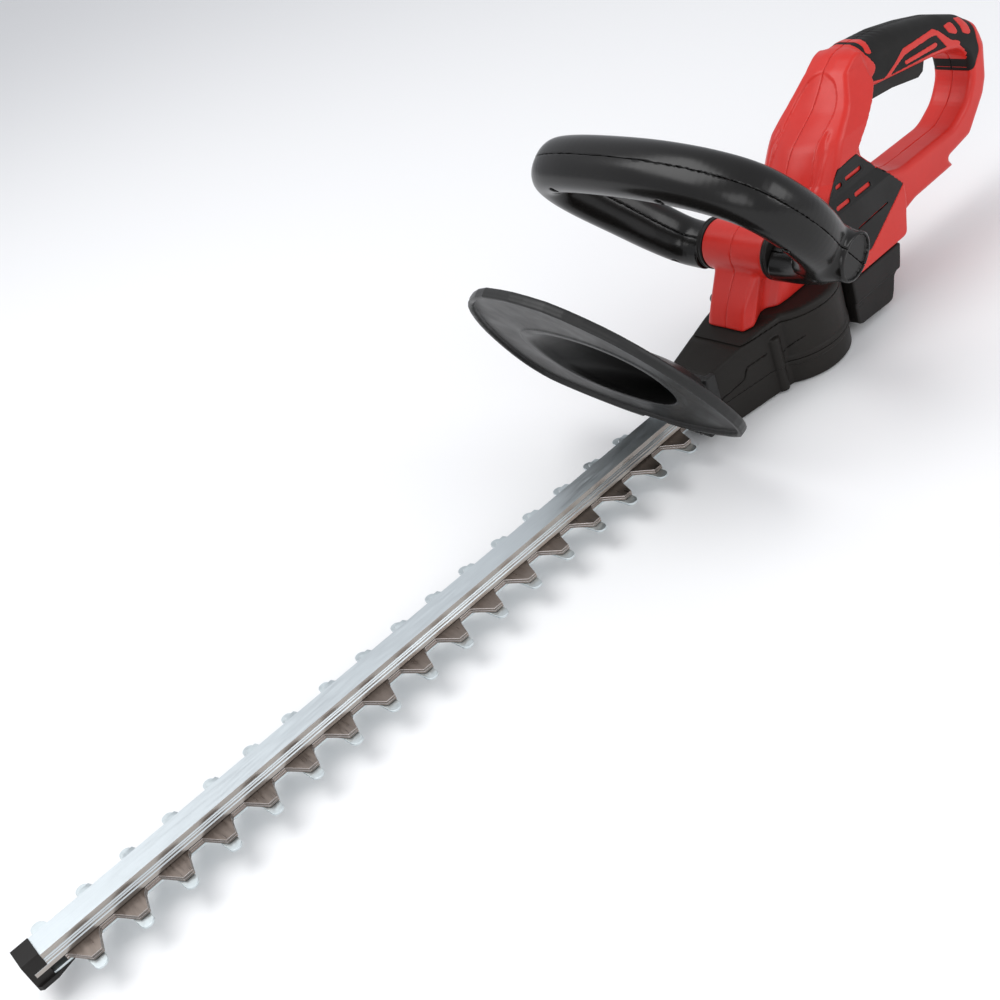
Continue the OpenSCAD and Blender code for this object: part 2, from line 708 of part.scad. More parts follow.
// Smooth curve through a list of points, k steps in each span
function spline_at(p, i, t) =
    let (n = len(p) - 1, a = p[max(i - 1, 0)], b = p[i], c = p[i + 1], d = p[min(i + 2, n)])
    0.5 * (2 * b + (c - a) * t + (2 * a - 5 * b + 4 * c - d) * t * t + (3 * b - a - 3 * c + d) * t * t * t);
function spline(p, k) = concat([for (i = [0 : len(p) - 2], j = [0 : k - 1]) spline_at(p, i, j / k)],
    [p[len(p) - 1]]);

function unit(v) = v / norm(v);
function travel(c, i) = unit(c[min(i + 1, len(c) - 1)] - c[max(i - 1, 0)]);

// One side of an oval, from its outer edge over its crown to its inner edge
function oval_side(a, b, side, steps) = [for (i = [0 : steps]) let (t = 180 * i / steps)
    [a * pow(abs(cos(t)), 0.9) * sign(cos(t)), side * b * pow(sin(t), 0.85)]];

// Solid swept along the loop from a section given in (across the tube, out of the loop)
module sweep_loop(section, shares, centre) {
    m = len(section);
    rings = [for (i = [0 : len(centre) - 1]) let (d = travel(centre, i), q = [d[1], -d[0]])
        [for (p = section) [centre[i][0] + q[0] * p[0] * shares[i], centre[i][1] + q[1] * p[0] * shares[i],
            p[1] * shares[i]]]];
    faces = concat([[for (j = [m - 1 : -1 : 0]) j]],
        [for (i = [0 : len(centre) - 2], j = [0 : m - 1]) let (k = (j + 1) % m)
            [i * m + j, i * m + k, (i + 1) * m + k, (i + 1) * m + j]],
        [[for (j = [0 : m - 1]) (len(centre) - 1) * m + j]]);
    polyhedron(flat(rings), faces);
}

module loop_shell(side) {
    centre = spline(loop_points, 3);
    shares = [for (v = spline([for (s = loop_share) [s, 0]], 3)) v[0]];
    thick = 2.6;
    section = concat(oval_side(tube_u, tube_n, side, 8),
        back(oval_side(tube_u - thick, tube_n - thick, side, 8)));
    color(black) loop_frame() difference() {
        union() {
            sweep_loop(side > 0 ? section : back(section), shares, centre);
            translate([loop_w - 8, stub_u, 0]) rotate([90, 0, 90]) linear_extrude(23)
                polygon(oval_side(tube_u - 2.7, tube_n - 2.2, side, 24));
            for (p = loop_screws) translate([p[0], p[1], side > 0 ? 0 : -17.3 * p[2]])
                cylinder(r = 4, h = 17.3 * p[2]);
        }
        translate([-46, loop_h - 18, -5]) cube([92, 14, 10]);
        translate([-arm_x, -45, -30]) cube([2 * arm_x, 90, 60]);
        for (p = loop_screws) translate([p[0], p[1], -9]) {
            cylinder(r = 1.5, h = 40, $fn = 24);
            translate([0, 0, 20]) cylinder(r = 3.2, h = 20, $fn = 24);
        }
        translate([loop_w + 13, stub_u, 0]) rotate([90, 0, 90]) linear_extrude(9)
            polygon(concat(oval_side(tube_u - 4.7, tube_n - 4.2, side, 24), [[0, side > 0 ? -1 : 1]]));
    }
}

module handle_front_shell() { loop_shell(1); }
module handle_rear_shell() { loop_shell(-1); }

module handle_screws() {
    color(steel) loop_frame() for (p = loop_screws) translate([p[0], p[1], -8])
        screw(19, r = 1.45, head_r = 3);
}

module on_boss(side) { translate([boss_x, side * boss_w, boss_z]) rotate([-side * 90, 0, 0]) children(); }

module handle_collars() {
    color(black) for (s = [-1, 1]) on_boss(s) ring(boss_r + 0.5, 4, arm_x - boss_w);
}

module handle_bolt() {
    color(steel) translate([boss_x, 0, boss_z]) rotate([90, 0, 0]) {
        translate([0, 0, -arm_x]) cylinder(r = 3.95, h = 2 * arm_x);
        translate([0, 0, -arm_x - 4]) cylinder(r = 6.5, h = 4);
    }
}

module handle_nut() {
    color(steel) translate([boss_x, -arm_x - 5, boss_z]) rotate([-90, 0, 0]) cylinder(r = 7, h = 5, $fn = 6);
}

module switch_bar() {
    color(black) loop_frame() translate([0, loop_h - 14, 0]) rotate([0, 90, 0])
        translate([0, 0, -44]) linear_extrude(88) polygon([[-4, -5], [-2.5, -6.5], [2.5, -6.5], [4, -5],
            [4, 5], [-4, 5]]);
}

module switch_bar_springs() {
    color(steel) loop_frame() for (s = [-1, 1]) translate([s * 30, loop_h - 8, 0]) rotate([-90, 0, 0])
        ring(2.6, 1.8, 3);
}

module safety_switch() {
    color(black) loop_frame() translate([-8, loop_h - 1, -5]) cube([16, 10, 10]);
}

// ---- trigger and electrics ----

module trigger() {
    color(black) difference() {
        side_slab(8) polygon([[-116, 142], [-114, 151], [-120, 156], [-150, 152], [-184, 147], [-190, 137],
            [-187, 130], [-181, 128], [-150, 135], [-120, 138.5]]);
        translate([trigger_x, 20, trigger_z]) rotate([90, 0, 0]) cylinder(r = 2.05, h = 40);
    }
}

module trigger_pin() {
    color(steel) translate([trigger_x, 13, trigger_z]) rotate([90, 0, 0]) cylinder(r = 2, h = 26);
}

module trigger_spring() {
    color(steel) translate([-150, 0, 152.8]) ring(3, 2.2, 8);
}

module trigger_switch() {
    color(black) side_slab(11) polygon([[-128, 163], [-128, 173], [-166, 168], [-166, 160]]);
}

module terminal_block() {
    color(black) side_slab(13) polygon([[-150, 57], [-150, 65.5], [-190, 65.5], [-194, 62], [-194, 57]]);
}

module battery_contacts() {
    color(copper) for (y = [-9, -3, 3, 9]) translate([-186, y - 0.5, 54]) cube([30, 1, 3]);
}

// ---- hand guard ----

// The guard's frame: X across, Y up the guard, Z out of its front
module guard_frame() {
    translate([163, 0, 85.3]) rotate([0, -guard_tilt, 0]) rotate([180, 0, 90]) children();
}

// A line moved to its right by a distance
function beside(c, d) = [for (i = [0 : len(c) - 1]) let (t = travel(c, i)) c[i] + d * [t[1], -t[0]]];

module guard_outline(inset) {
    line = spline([for (p = guard_half) [p[0] * guard_w / 101, p[1]]], 4);
    edge = [for (p = beside(line, inset)) [max(p[0], 0), p[1]]];
    polygon(concat(edge, [for (p = back(edge)) [-p[0], p[1]]]));
}

module guard_hub(grow) {
    hull() {
        guard_frame() translate([0, 11, -2]) linear_extrude(2) scale([1.42, 1])
            circle(r = 43 + grow, $fn = 32);
        translate([nose_x + 2, -19 - grow, 24]) cube([2, 38 + 2 * grow, 24 + grow]);
    }
}

module hand_guard() {
    color(black) difference() {
        union() {
            guard_frame() {
                difference() {
                    translate([0, 0, -2.5]) linear_extrude(7) guard_outline(0);
                    translate([0, 0, 0.1]) linear_extrude(9) guard_outline(3);
                }
            }
            guard_hub(2.5);
            translate([nose_x - 5, -nose_front_w - 5, 24]) cube([10, 2 * nose_front_w + 10, 26]);
            translate([nose_x - 2, -24, 8]) cube([16, 48, 18]);
        }
        translate([5, 0, 0]) guard_hub(-2);
        translate([0.2, 0, -1]) linear_extrude(51) case_plan(-0.3);
        translate([nose_x + 0.1, -17.2, 13]) cube([3.3, 34.4, 26]);
        translate([nose_x - 5, -spine_w - 1, comb_z - 0.2]) cube([60, 2 * spine_w + 2, 18.5]);
        translate([nose_x + 14.1, -60, -20]) cube([80, 120, 34]);
        translate([nose_x + 6, -60, comb_z - 2.7]) cube([60, 120, 12]);
        translate([screw_xs[4], 0, -1]) cylinder(r = 4.6, h = 30);
        guard_screw_places() {
            cylinder(r = 1.5, h = 40, $fn = 24);
            translate([0, 0, 24]) cylinder(r = 2.6, h = 9, $fn = 24);
        }
    }
}

module guard_screw_places() {
    for (s = [-1, 1]) translate([nose_x - 11, s * 14, 10.9]) rotate([0, 90, 0]) children();
}

module guard_screws() {
    color(steel) guard_screw_places() screw(24, r = 1.5, head_r = 2.5, head_h = 1.2);
}

gearcase_lower();
gearcase_upper();
motor_pod();
housing_left();
housing_right();
grip_left();
grip_right();
vent_panel_left();
vent_panel_right();
handle_front_shell();
handle_rear_shell();
handle_collars();
handle_bolt();
handle_nut();
handle_screws();
hand_guard();
guard_screws();
guide_bar();
comb();
bar_screws();
blade_bushes();
tip_cap();
tip_screw();
upper_blade();
lower_blade();
crank_gear();
crank_shaft();
crank_pins();
crank_bearings();
rotor_shaft();
pinion();
rotor_core();
commutator();
cooling_fan();
motor_can();
motor_end_cap();
motor_bearings();
motor_magnets();
brush_holders();
pinion_bush();
trigger();
trigger_pin();
trigger_spring();
trigger_switch();
terminal_block();
battery_contacts();
switch_bar();
switch_bar_springs();
safety_switch();
felt_wiper();
gearcase_screws();
housing_screws();
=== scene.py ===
"""Hedge trimmer: the looks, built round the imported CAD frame.

The moulded parts are distance fields in millimetres, in the CAD's frame, turned into meshes by
surface().  The other visible parts are copies of the CAD solids with softened edges, made by
refine().
"""
import json
import math

import bmesh
import bpy
import numpy as np
from mathutils import Matrix, Vector


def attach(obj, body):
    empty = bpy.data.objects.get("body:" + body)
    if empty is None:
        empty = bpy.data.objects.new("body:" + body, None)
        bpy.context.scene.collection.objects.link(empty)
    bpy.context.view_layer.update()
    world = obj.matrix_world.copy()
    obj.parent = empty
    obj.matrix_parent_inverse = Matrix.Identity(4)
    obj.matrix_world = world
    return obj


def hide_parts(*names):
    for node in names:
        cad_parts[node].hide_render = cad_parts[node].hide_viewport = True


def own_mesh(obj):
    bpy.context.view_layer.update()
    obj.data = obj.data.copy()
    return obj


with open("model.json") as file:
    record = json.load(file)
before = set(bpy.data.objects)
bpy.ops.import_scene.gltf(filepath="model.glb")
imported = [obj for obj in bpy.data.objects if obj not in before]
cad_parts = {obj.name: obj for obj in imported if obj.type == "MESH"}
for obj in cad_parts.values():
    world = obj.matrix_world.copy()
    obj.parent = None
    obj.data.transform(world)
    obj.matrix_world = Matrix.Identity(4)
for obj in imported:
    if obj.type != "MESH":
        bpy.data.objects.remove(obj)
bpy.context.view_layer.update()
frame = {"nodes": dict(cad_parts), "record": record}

MM = 0.001
BODY_OF = {node: body for body, nodes in frame["record"]["behaviour"]["bodies"].items()
           for node in nodes}
SLOT_OF = {row["node"]: row["material_slot"] for row in frame["record"]["subparts"]}

# ---------------------------------------------------------------------------
# Camera, lights and floor
# ---------------------------------------------------------------------------

EYE = (604.1, 602.92, 524.35)      # mm, from the camera solved out of the photo
RIGHT = (-0.709, 0.629, -0.318)
AHEAD = (-0.398, -0.730, -0.556)
LENS, SENSOR = 47.19, 36.0         # mm


def make_camera():
    data = bpy.data.cameras.new("camera")
    data.sensor_width = SENSOR
    data.lens = LENS
    data.clip_start, data.clip_end = 0.05, 20.0
    cam = bpy.data.objects.new("camera", data)
    back = -Vector(AHEAD).normalized()
    right = Vector(RIGHT)
    right = (right - back * right.dot(back)).normalized()
    up = back.cross(right)
    turn = Matrix((right, up, back)).transposed()
    cam.matrix_world = Matrix.Translation(Vector(EYE) * MM) @ turn.to_4x4()
    bpy.context.scene.collection.objects.link(cam)
    bpy.context.scene.camera = cam


def area_light(name, place, aim, size, power):
    data = bpy.data.lights.new(name, "AREA")
    data.shape = "RECTANGLE"
    data.size, data.size_y = size
    data.energy = power
    lamp = bpy.data.objects.new(name, data)
    lamp.location = place
    lamp.rotation_euler = (Vector(aim) - Vector(place)).to_track_quat("-Z", "Y").to_euler()
    bpy.context.scene.collection.objects.link(lamp)


def make_stage():
    """A pale floor under soft, plain studio light."""
    bpy.context.scene.view_settings.view_transform = "Standard"
    world = bpy.data.worlds.new("studio")
    bpy.context.scene.world = world
    world.use_nodes = True
    sky = world.node_tree.nodes["Background"]
    sky.inputs["Color"].default_value = (0.93, 0.95, 1.0, 1)
    sky.inputs["Strength"].default_value = 0.66
    middle = (0.2, 0.0, 0.08)
    area_light("key", (0.9, -0.6, 1.9), middle, (1.5, 1.5), 25)
    area_light("front", (1.9, 1.2, 1.1), middle, (1.4, 1.0), 11)
    area_light("side", (-0.6, 1.8, 0.9), middle, (1.2, 0.8), 10)
    bpy.ops.mesh.primitive_plane_add(size=14, location=(0, 0, -0.0005))
    floor = bpy.context.object
    floor.name = "floor"
    mat = bpy.data.materials.new("floor")
    mat.use_nodes = True
    shader = mat.node_tree.nodes["Principled BSDF"]
    shader.inputs["Base Color"].default_value = (0.88, 0.88, 0.88, 1)
    shader.inputs["Roughness"].default_value = 0.85
    floor.data.materials.append(mat)


# ---------------------------------------------------------------------------
# Shapes as distance fields, in millimetres
# ---------------------------------------------------------------------------

def outline(points):
    """Signed distance to a closed outline, as a function of two coordinates."""
    pts = np.array(points, np.float32)
    nxt = np.roll(pts, -1, axis=0)

    def distance(a, b):
        best = np.full(a.shape, 1e9, np.float32)
        inside = np.zeros(a.shape, bool)
        for (x0, y0), (x1, y1) in zip(pts, nxt):
            ex, ey = x1 - x0, y1 - y0
            wx, wy = a - x0, b - y0
            t = np.clip((wx * ex + wy * ey) / (ex * ex + ey * ey), 0, 1)
            best = np.minimum(best, (wx - ex * t) ** 2 + (wy - ey * t) ** 2)
            if y0 != y1:
                cross = ((y0 > b) != (y1 > b)) & (a < ex * (b - y0) / ey + x0)
                inside ^= cross
        return np.where(inside, -1, 1) * np.sqrt(best)
    return distance


def smooth_min(a, b, r):
    """Union of two shapes, blended over about r."""
    h = np.clip(0.5 + 0.5 * (b - a) / r, 0, 1)
    return b + (a - b) * h - r * h * (1 - h)


def smooth_max(a, b, r):
    """Intersection of two shapes, blended over about r."""
    return -smooth_min(-a, -b, r)


def round_max(a, b, r):
    """Intersection of two shapes whose shared edge is rounded to radius r."""
    u = np.maximum(a + r, 0)
    v = np.maximum(b + r, 0)
    return np.minimum(np.maximum(a, b), -r) + np.sqrt(u * u + v * v)


def cut(a, b, r=0.6):
    """Shape a without shape b, with the edge rounded to r."""
    return round_max(a, -b, r)


def box_field(x, y, z, low, high, r):
    """A box between two corners, with its edges rounded to r."""
    centre = [(p + q) / 2 for p, q in zip(low, high)]
    half = [(q - p) / 2 - r for p, q in zip(low, high)]
    q = [np.abs(c - m) - h for c, m, h in zip((x, y, z), centre, half)]
    outer = np.sqrt(sum(np.maximum(c, 0) ** 2 for c in q))
    return outer + np.minimum(np.maximum(q[0], np.maximum(q[1], q[2])), 0) - r


def disc_field(a, b, along, radius, low, high, r):
    """A round bar: a and b are measured across it, along is measured along it."""
    across = np.sqrt(a * a + b * b) - radius
    ends = np.abs(along - (low + high) / 2) - (high - low) / 2
    return round_max(across, ends, r)


BLOCK = 8               # cells along each side of a sampled block
BATCH = 256             # blocks sampled at a time
NEAR = 1.2              # blocks this many sizes from the surface are sampled


def surface(field, low, high, step):
    """Surface-net mesh of field's zero level, sampled only near the surface."""
    low = np.array(low, float) - step * 1.5
    count = np.ceil((np.array(high) + step * 1.5 - low) / (step * BLOCK)).astype(int)
    size = step * BLOCK
    index = np.stack(np.meshgrid(*[np.arange(n) for n in count], indexing="ij"), -1).reshape(-1, 3)
    middle = low + (index + 0.5) * size
    near = np.abs(sample(field, middle)) < size * NEAR + step
    index = index[near]
    local = np.arange(BLOCK + 1)
    grid = np.stack(np.meshgrid(local, local, local, indexing="ij"), -1)
    values = np.empty((len(index),) + grid.shape[:3], np.float32)
    for start in range(0, len(index), BATCH):
        part = index[start:start + BATCH]
        points = low + (part[:, None, None, None, :] * BLOCK + grid) * step
        found = sample(field, points.reshape(-1, 3))
        values[start:start + BATCH] = found.reshape(len(part), *grid.shape[:3])
    inside = values < 0
    corner = [inside[:, i:i + BLOCK, j:j + BLOCK, k:k + BLOCK]
              for i in (0, 1) for j in (0, 1) for k in (0, 1)]
    total = sum(c.astype(np.int8) for c in corner)
    block, i, j, k = np.nonzero((total > 0) & (total < 8))
    place = np.zeros((len(block), 3))
    hits = np.zeros(len(block))
    corners = [(a, b, c) for a in (0, 1) for b in (0, 1) for c in (0, 1)]
    for a in corners:
        for axis in range(3):
            if a[axis]:
                continue
            b = tuple(v + (n == axis) for n, v in enumerate(a))
            va = values[block, i + a[0], j + a[1], k + a[2]]
            vb = values[block, i + b[0], j + b[1], k + b[2]]
            crossing = (va < 0) != (vb < 0)
            t = np.where(crossing, va / np.where(va == vb, 1, va - vb), 0)
            offset = np.array(a, float)[None, :] + np.eye(3)[axis][None, :] * t[:, None]
            place += np.where(crossing[:, None], offset, 0)
            hits += crossing
    cell = index[block] * BLOCK + np.stack([i, j, k], 1)
    verts = low + (cell + place / hits[:, None]) * step
    span = count * BLOCK + 2
    keys = ((cell[:, 0] + 1) * span[1] + cell[:, 1] + 1) * span[2] + cell[:, 2] + 1
    order = np.argsort(keys)
    keys, verts = keys[order], verts[order]
    quads = []
    stride = np.array([span[1] * span[2], span[2], 1])
    for axis in range(3):
        ahead = [slice(1, BLOCK + 1) if n == axis else slice(0, BLOCK) for n in range(3)]
        here = inside[:, :BLOCK, :BLOCK, :BLOCK]
        there = inside[:, ahead[0], ahead[1], ahead[2]]
        b, i, j, k = np.nonzero(here != there)
        leaving = here[b, i, j, k]
        point = index[b] * BLOCK + np.stack([i, j, k], 1) + 1
        key = point @ stride
        u, v = stride[(axis + 1) % 3], stride[(axis + 2) % 3]
        ring = np.stack([key - u - v, key - v, key, key - u], 1)
        ring = np.where(leaving[:, None], ring, ring[:, ::-1])
        quads.append(ring)
    quads = np.concatenate(quads)
    found = np.searchsorted(keys, quads)
    found = np.minimum(found, len(keys) - 1)
    whole = (keys[found] == quads).all(1)
    return settle(field, verts, step), found[whole]


def sample(field, points):
    p = points.astype(np.float32)
    return np.asarray(field(p[:, 0], p[:, 1], p[:, 2]), np.float32)


def settle(field, verts, step, rounds=2):
    """Moves each point onto the zero level, along the field's slope."""
    h = step * 0.25
    for _ in range(rounds):
        value = sample(field, verts)
        slope = np.stack([(sample(field, verts + e * h) - sample(field, verts - e * h)) / (2 * h)
                          for e in np.eye(3)], 1)
        size = np.maximum((slope * slope).sum(1), 0.25)
        move = -(value / size)[:, None] * slope
        length = np.linalg.norm(move, axis=1, keepdims=True)
        move *= np.minimum(1, 0.5 * step / np.maximum(length, 1e-6))
        verts = verts + move
    return verts


def mesh_step(fine):
    return fine


def add_piece(name, verts_mm, faces, material, node, smooth=35.0):
    """A mesh piece that rides on the housing and stands for a CAD node."""
    mesh = bpy.data.meshes.new(name)
    mesh.from_pydata((np.asarray(verts_mm) * MM).tolist(), [], [list(map(int, f)) for f in faces])
    mesh.update()
    mesh.materials.append(material)
    piece = bpy.data.objects.new(name, mesh)
    bpy.context.scene.collection.objects.link(piece)
    mesh.shade_smooth()
    mesh.set_sharp_from_angle(angle=math.radians(smooth))
    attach(piece, "housing")
    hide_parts(node)
    return piece


# ---------------------------------------------------------------------------
# Red housing and rubber grip
# ---------------------------------------------------------------------------

GRIP_W, BOSS_W = 17.5, 26.4            # half widths
BOSS_X, BOSS_Z, BOSS_R = 18.5, 98.5, 18.0
DRUM_R = 44                            # the gearcase's drum, which the housing stands on


def rounded(points, radius, steps=4):
    """Outline with its corners replaced by short arcs."""
    pts = [np.array(p, float) for p in points]
    out = []
    for i, p in enumerate(pts):
        before, after = pts[i - 1] - p, pts[(i + 1) % len(pts)] - p
        reach = min(radius, 0.42 * np.linalg.norm(before), 0.42 * np.linalg.norm(after))
        a = p + before / np.linalg.norm(before) * reach
        b = p + after / np.linalg.norm(after) * reach
        for k in range(steps + 1):
            t = k / steps
            out.append((1 - t) ** 2 * a + 2 * t * (1 - t) * p + t * t * b)
    return out


# Side outlines (x, z), worked out from points on the photo, through the solved camera.
LOOP_OUTER = [(-80, 150), (-90, 174), (-102, 181), (-118, 183.5), (-152, 179), (-181, 172),
              (-210, 163), (-233, 153), (-249, 140), (-255, 122), (-252, 96), (-246, 84),
              (-222, 62), (-192, 58), (-198, 49), (-146, 48), (-133, 44.8), (-80, 44.4)]
LOOP_HOLE = [(-90, 121), (-92, 108), (-112, 88), (-136, 79), (-202, 78), (-222, 88), (-233, 104),
             (-231, 122), (-222, 131), (-206, 136), (-186, 140), (-112, 152)]
NECK = [(-37, 44.4), (-22, 58), (-20, 66), (-22, 112), (-34, 130), (-43, 141), (-72, 157),
        (-89, 174), (-102, 181), (-112, 182), (-112, 152), (-90, 121), (-92, 108), (-112, 88),
        (-104, 44.4)]
# The neck at a row of heights: its half width, how far its front bends back, its rear edge.
NECK_WIDTH = ((40, 98, 108, 120, 132, 141, 150, 157, 165, 173, 200),
              (38, 38, 34, 32.5, 32, 31, 28.5, 26, 22, 18, 17.5))
NECK_BEND = ((60, 105, 118, 140, 150, 158, 172), (0.0, 0.012, 0.018, 0.0165, 0.012, 0.009, 0.013))
NECK_REAR = ((60, 84, 126, 149, 165), (-108, -108, -71, -100, -116))
NECK_SLOPE = ((100, 140), (2.2, 1.1))  # how fast it narrows behind the rear edge
GRIP_EDGE = ((60, 85, 130, 150), (5.5, 7.5, 8.5, 12.5))   # heights and the grip's edge radius there
SUPPORT = [(-30, 58), (20, 58.3), (50, 56.3), (57, 55.5), (56, 60), (52.5, 69.5), (43.5, 79.5),
           (34.5, 90), (30, 104), (20, 114), (-30, 122)]
SUPPORT_PLAN = [(-31, 23), (16, 23.5), (25, 22), (30, 15), (35, 14.5), (49, 20.5), (57.5, 15)]
PANEL = [(-33, 108), (-50, 125), (-71, 126), (-108, 84), (-62, 56), (-25, 62), (-25, 92)]
VENTS = [(-63.5, 115, 18), (-46.5, 114, 7), (-66, 101.6, 18), (-44, 101.6, 15)]   # x, z, length
VENT_R = 1.5
SHIELD = [(0, 176), (10, 171), (16.5, 161), (18.5, 152), (17, 144), (19.5, 118), (12, 104)]   # y, z

loop_outer = outline(rounded(LOOP_OUTER, 3))
loop_hole = outline(rounded(LOOP_HOLE, 7))
neck_side = outline(rounded(NECK, 5))
support_side = outline(rounded(SUPPORT, 4))
support_plan = outline(rounded(SUPPORT_PLAN + [(x, -y) for x, y in SUPPORT_PLAN[::-1]], 2.5))
panel_side = outline(rounded(PANEL, 1.5))
shield_front = outline(rounded(SHIELD + [(-y, z) for y, z in SHIELD[::-1] if y], 5))


def line_field(points):
    """Distance to an open line, as a function of two coordinates."""
    def distance(a, b):
        best = np.full(a.shape, 1e9, np.float32)
        for (x0, y0), (x1, y1) in zip(points[:-1], points[1:]):
            ex, ey = x1 - x0, y1 - y0
            t = np.clip(((a - x0) * ex + (b - y0) * ey) / (ex * ex + ey * ey), 0, 1)
            best = np.minimum(best, (a - x0 - ex * t) ** 2 + (b - y0 - ey * t) ** 2)
        return np.sqrt(best)
    return distance


crease_front = line_field([(20.7, 145), (23, 136), (22.4, 123), (20.6, 112)])


def neck_front(x, y, z):
    """The neck's front is rounded across, so its outline moves back away from the middle."""
    bend = np.interp(z, *NECK_BEND)
    share = np.clip((x + 112) / 30, 0, 1)
    return neck_side(x + bend.astype(np.float32) * share * y * y, z)


def neck_width(x, z):
    """Half width of the neck: it narrows upwards, and inwards behind its rear edge."""
    full = np.interp(z, *NECK_WIDTH)
    rear = np.interp(z, *NECK_REAR)
    steep = np.interp(z, *NECK_SLOPE)
    return np.maximum(full - np.maximum(rear - x, 0) * steep, GRIP_W).astype(np.float32)


def grip_solid(x, y, z, grow=0.0):
    """The rear D grip and its strut, grown outwards by grow."""
    edge = np.interp(z, *GRIP_EDGE).astype(np.float32)
    side = np.abs(y) - GRIP_W
    outer = round_max(loop_outer(x, z), side, edge)
    return np.maximum(outer, round_max(-loop_hole(x, z), side, 4.5)) - grow


def body_solid(x, y, z):
    """The whole red housing as one solid: neck, grip loop, support and boss."""
    ay = np.abs(y)
    front = neck_front(x, y, z)
    neck = round_max(front, (ay - neck_width(x, z)) * 0.9, 2.5)
    neck = cut(neck, np.maximum(shield_front(y, z), -(front + 1.3)), 1.6)
    crease = np.exp(-(crease_front(ay, z) / 1.9) ** 2) * np.clip((front + 9) / 6, 0, 1)
    neck = neck + 1.2 * crease.astype(np.float32)
    loop = grip_solid(x, y, z)
    plan = support_plan(x + 0.55 * (z - 58), y) * 0.85
    support = round_max(round_max(support_side(x, z), plan, 2.0), ay - BOSS_W, 2.0)
    boss = disc_field(x - BOSS_X, z - BOSS_Z, y, BOSS_R, -BOSS_W, BOSS_W, 1.2)
    body = smooth_min(neck, loop, 4.0)
    body = smooth_min(body, smooth_min(support, boss, 3.0), 2.0)
    drum_room = disc_field(x, y, z, DRUM_R + 0.4, -10, 58.4, 0.3)
    return cut(body, drum_room, 0.5)


# Side outlines (x, z) of the rubber and of the red shapes left open in it, found the same way.
RUBBER = [(-116, 192), (-116, 184), (-115, 181.5), (-115.8, 176), (-123.5, 165.5), (-123.3, 162),
          (-117.7, 158), (-116, 155.5), (-133, 150.3), (-187, 143.3), (-207, 139.3), (-222, 133.8),
          (-230.5, 124), (-232, 108), (-235.8, 109.8), (-244.7, 120.5), (-242.3, 133), (-243, 152),
          (-232, 164), (-210, 192)]
BAND = [(-132.6, 150.8), (-145.8, 155.6), (-156.5, 161.4), (-192.5, 159.4), (-199.1, 154.5),
        (-212.4, 141.9), (-218.4, 139.2), (-222.5, 136), (-218.3, 133.3), (-206.5, 140.1),
        (-195.7, 154.1), (-189.6, 155.6), (-157.5, 157.1), (-148.5, 154.3), (-136, 149.7)]
INNER = [(-156.2, 152), (-193.4, 148.8), (-195.4, 146.5), (-192.7, 145.9), (-157.7, 149.6)]
SLANT_A = [(-206.6, 155.6), (-214.8, 154.4), (-217.1, 152.7), (-219.8, 145.7), (-218.9, 144.4),
           (-210.7, 149.2)]
SLANT_B = [(-223.9, 153.3), (-231.5, 150.8), (-234.6, 144.8), (-235.8, 137.8), (-233, 138.1),
           (-227.1, 141.7)]
LOZENGE = [(-123.2, 187), (-127.6, 187), (-125.4, 181.8), (-123.3, 178), (-122.7, 174.6),
           (-120.9, 174.4), (-118.1, 176.7), (-119.6, 179), (-120.4, 182), (-121, 187)]
TRIGGER_SLOT = [(-112, 130), (-112, 158), (-122, 162), (-178, 161), (-193, 155), (-193, 126)]
RAIL_SLOT = [(-140, 40), (-140, 57), (-196, 57), (-200, 54), (-200, 40)]
rubber_side = outline(rounded(RUBBER, 3))
trigger_slot = outline(TRIGGER_SLOT)
rail_slot = outline(RAIL_SLOT)
inlays = [outline(rounded(p, 1.0, 2)) for p in (BAND, INNER, SLANT_A, SLANT_B, LOZENGE)]


def inlay_field(x, z):
    field = inlays[0](x, z)
    for shape in inlays[1:]:
        field = np.minimum(field, shape(x, z))
    return field


def rubber_region(x, z):
    """Side outline of the rubber, with the inlays left out of it."""
    return np.maximum(rubber_side(x, z), -inlay_field(x, z))


def rubber_solid(x, y, z):
    """The overmould: a thin layer on the grip, with the inlays left open."""
    region = rubber_region(x, z)
    along = x * 0.97 - z * 0.24
    ribs = np.clip(1 - np.abs(along + 178) / 26, 0, 1) * np.clip(1.3 - np.abs(y) / 9, 0, 1)
    ribs = ribs * np.clip((z - 158) / 4, 0, 1) * 0.45 * np.cos(along * 2 * np.pi / 5.5)
    skin = grip_solid(x, y, z, 0.05) + ribs * 0.5 + 0.25
    layer = np.maximum(skin, -(grip_solid(x, y, z) + 1.8))
    return round_max(layer, region, 0.7)


def housing_field(x, y, z):
    """The housing with its seats for the rubber and the panels, and the openings cut out."""
    body = body_solid(x, y, z)
    seat = np.maximum(body, grip_solid(x, y, z) + 1.2)
    body = np.where(rubber_region(x, z) < -0.6, seat, body)
    panel = np.maximum(panel_side(x, z), -(np.abs(y) - neck_width(x, z) + 1.7))
    body = cut(body, panel, 0.4)
    slot = round_max(np.abs(y) - 8.4, trigger_slot(x, z), 0.5)
    body = cut(body, slot, 0.5)
    rail = round_max(np.abs(y) - 14.5, rail_slot(x, z), 0.5)
    return cut(body, rail, 0.5)


PART_GAP = 0.12         # from the parting plane to each half


def half_field(field, side):
    """The part of a shape on one side of the parting plane."""
    def part(x, y, z):
        return round_max(field(x, y, z), PART_GAP - side * y, 0.35)
    return part


def make_pair(name, field, low, high, step, material, nodes):
    """A left and a right piece that meet at the parting plane."""
    for side, word, node in ((1, "left", nodes[0]), (-1, "right", nodes[1])):
        lo = (low[0], 0 if side > 0 else -high[1], low[2])
        hi = (high[0], high[1] if side > 0 else 0, high[2])
        verts, faces = surface(half_field(field, side), lo, hi, step)
        add_piece(f"{name}_{word}", verts, faces, material, node, 50)


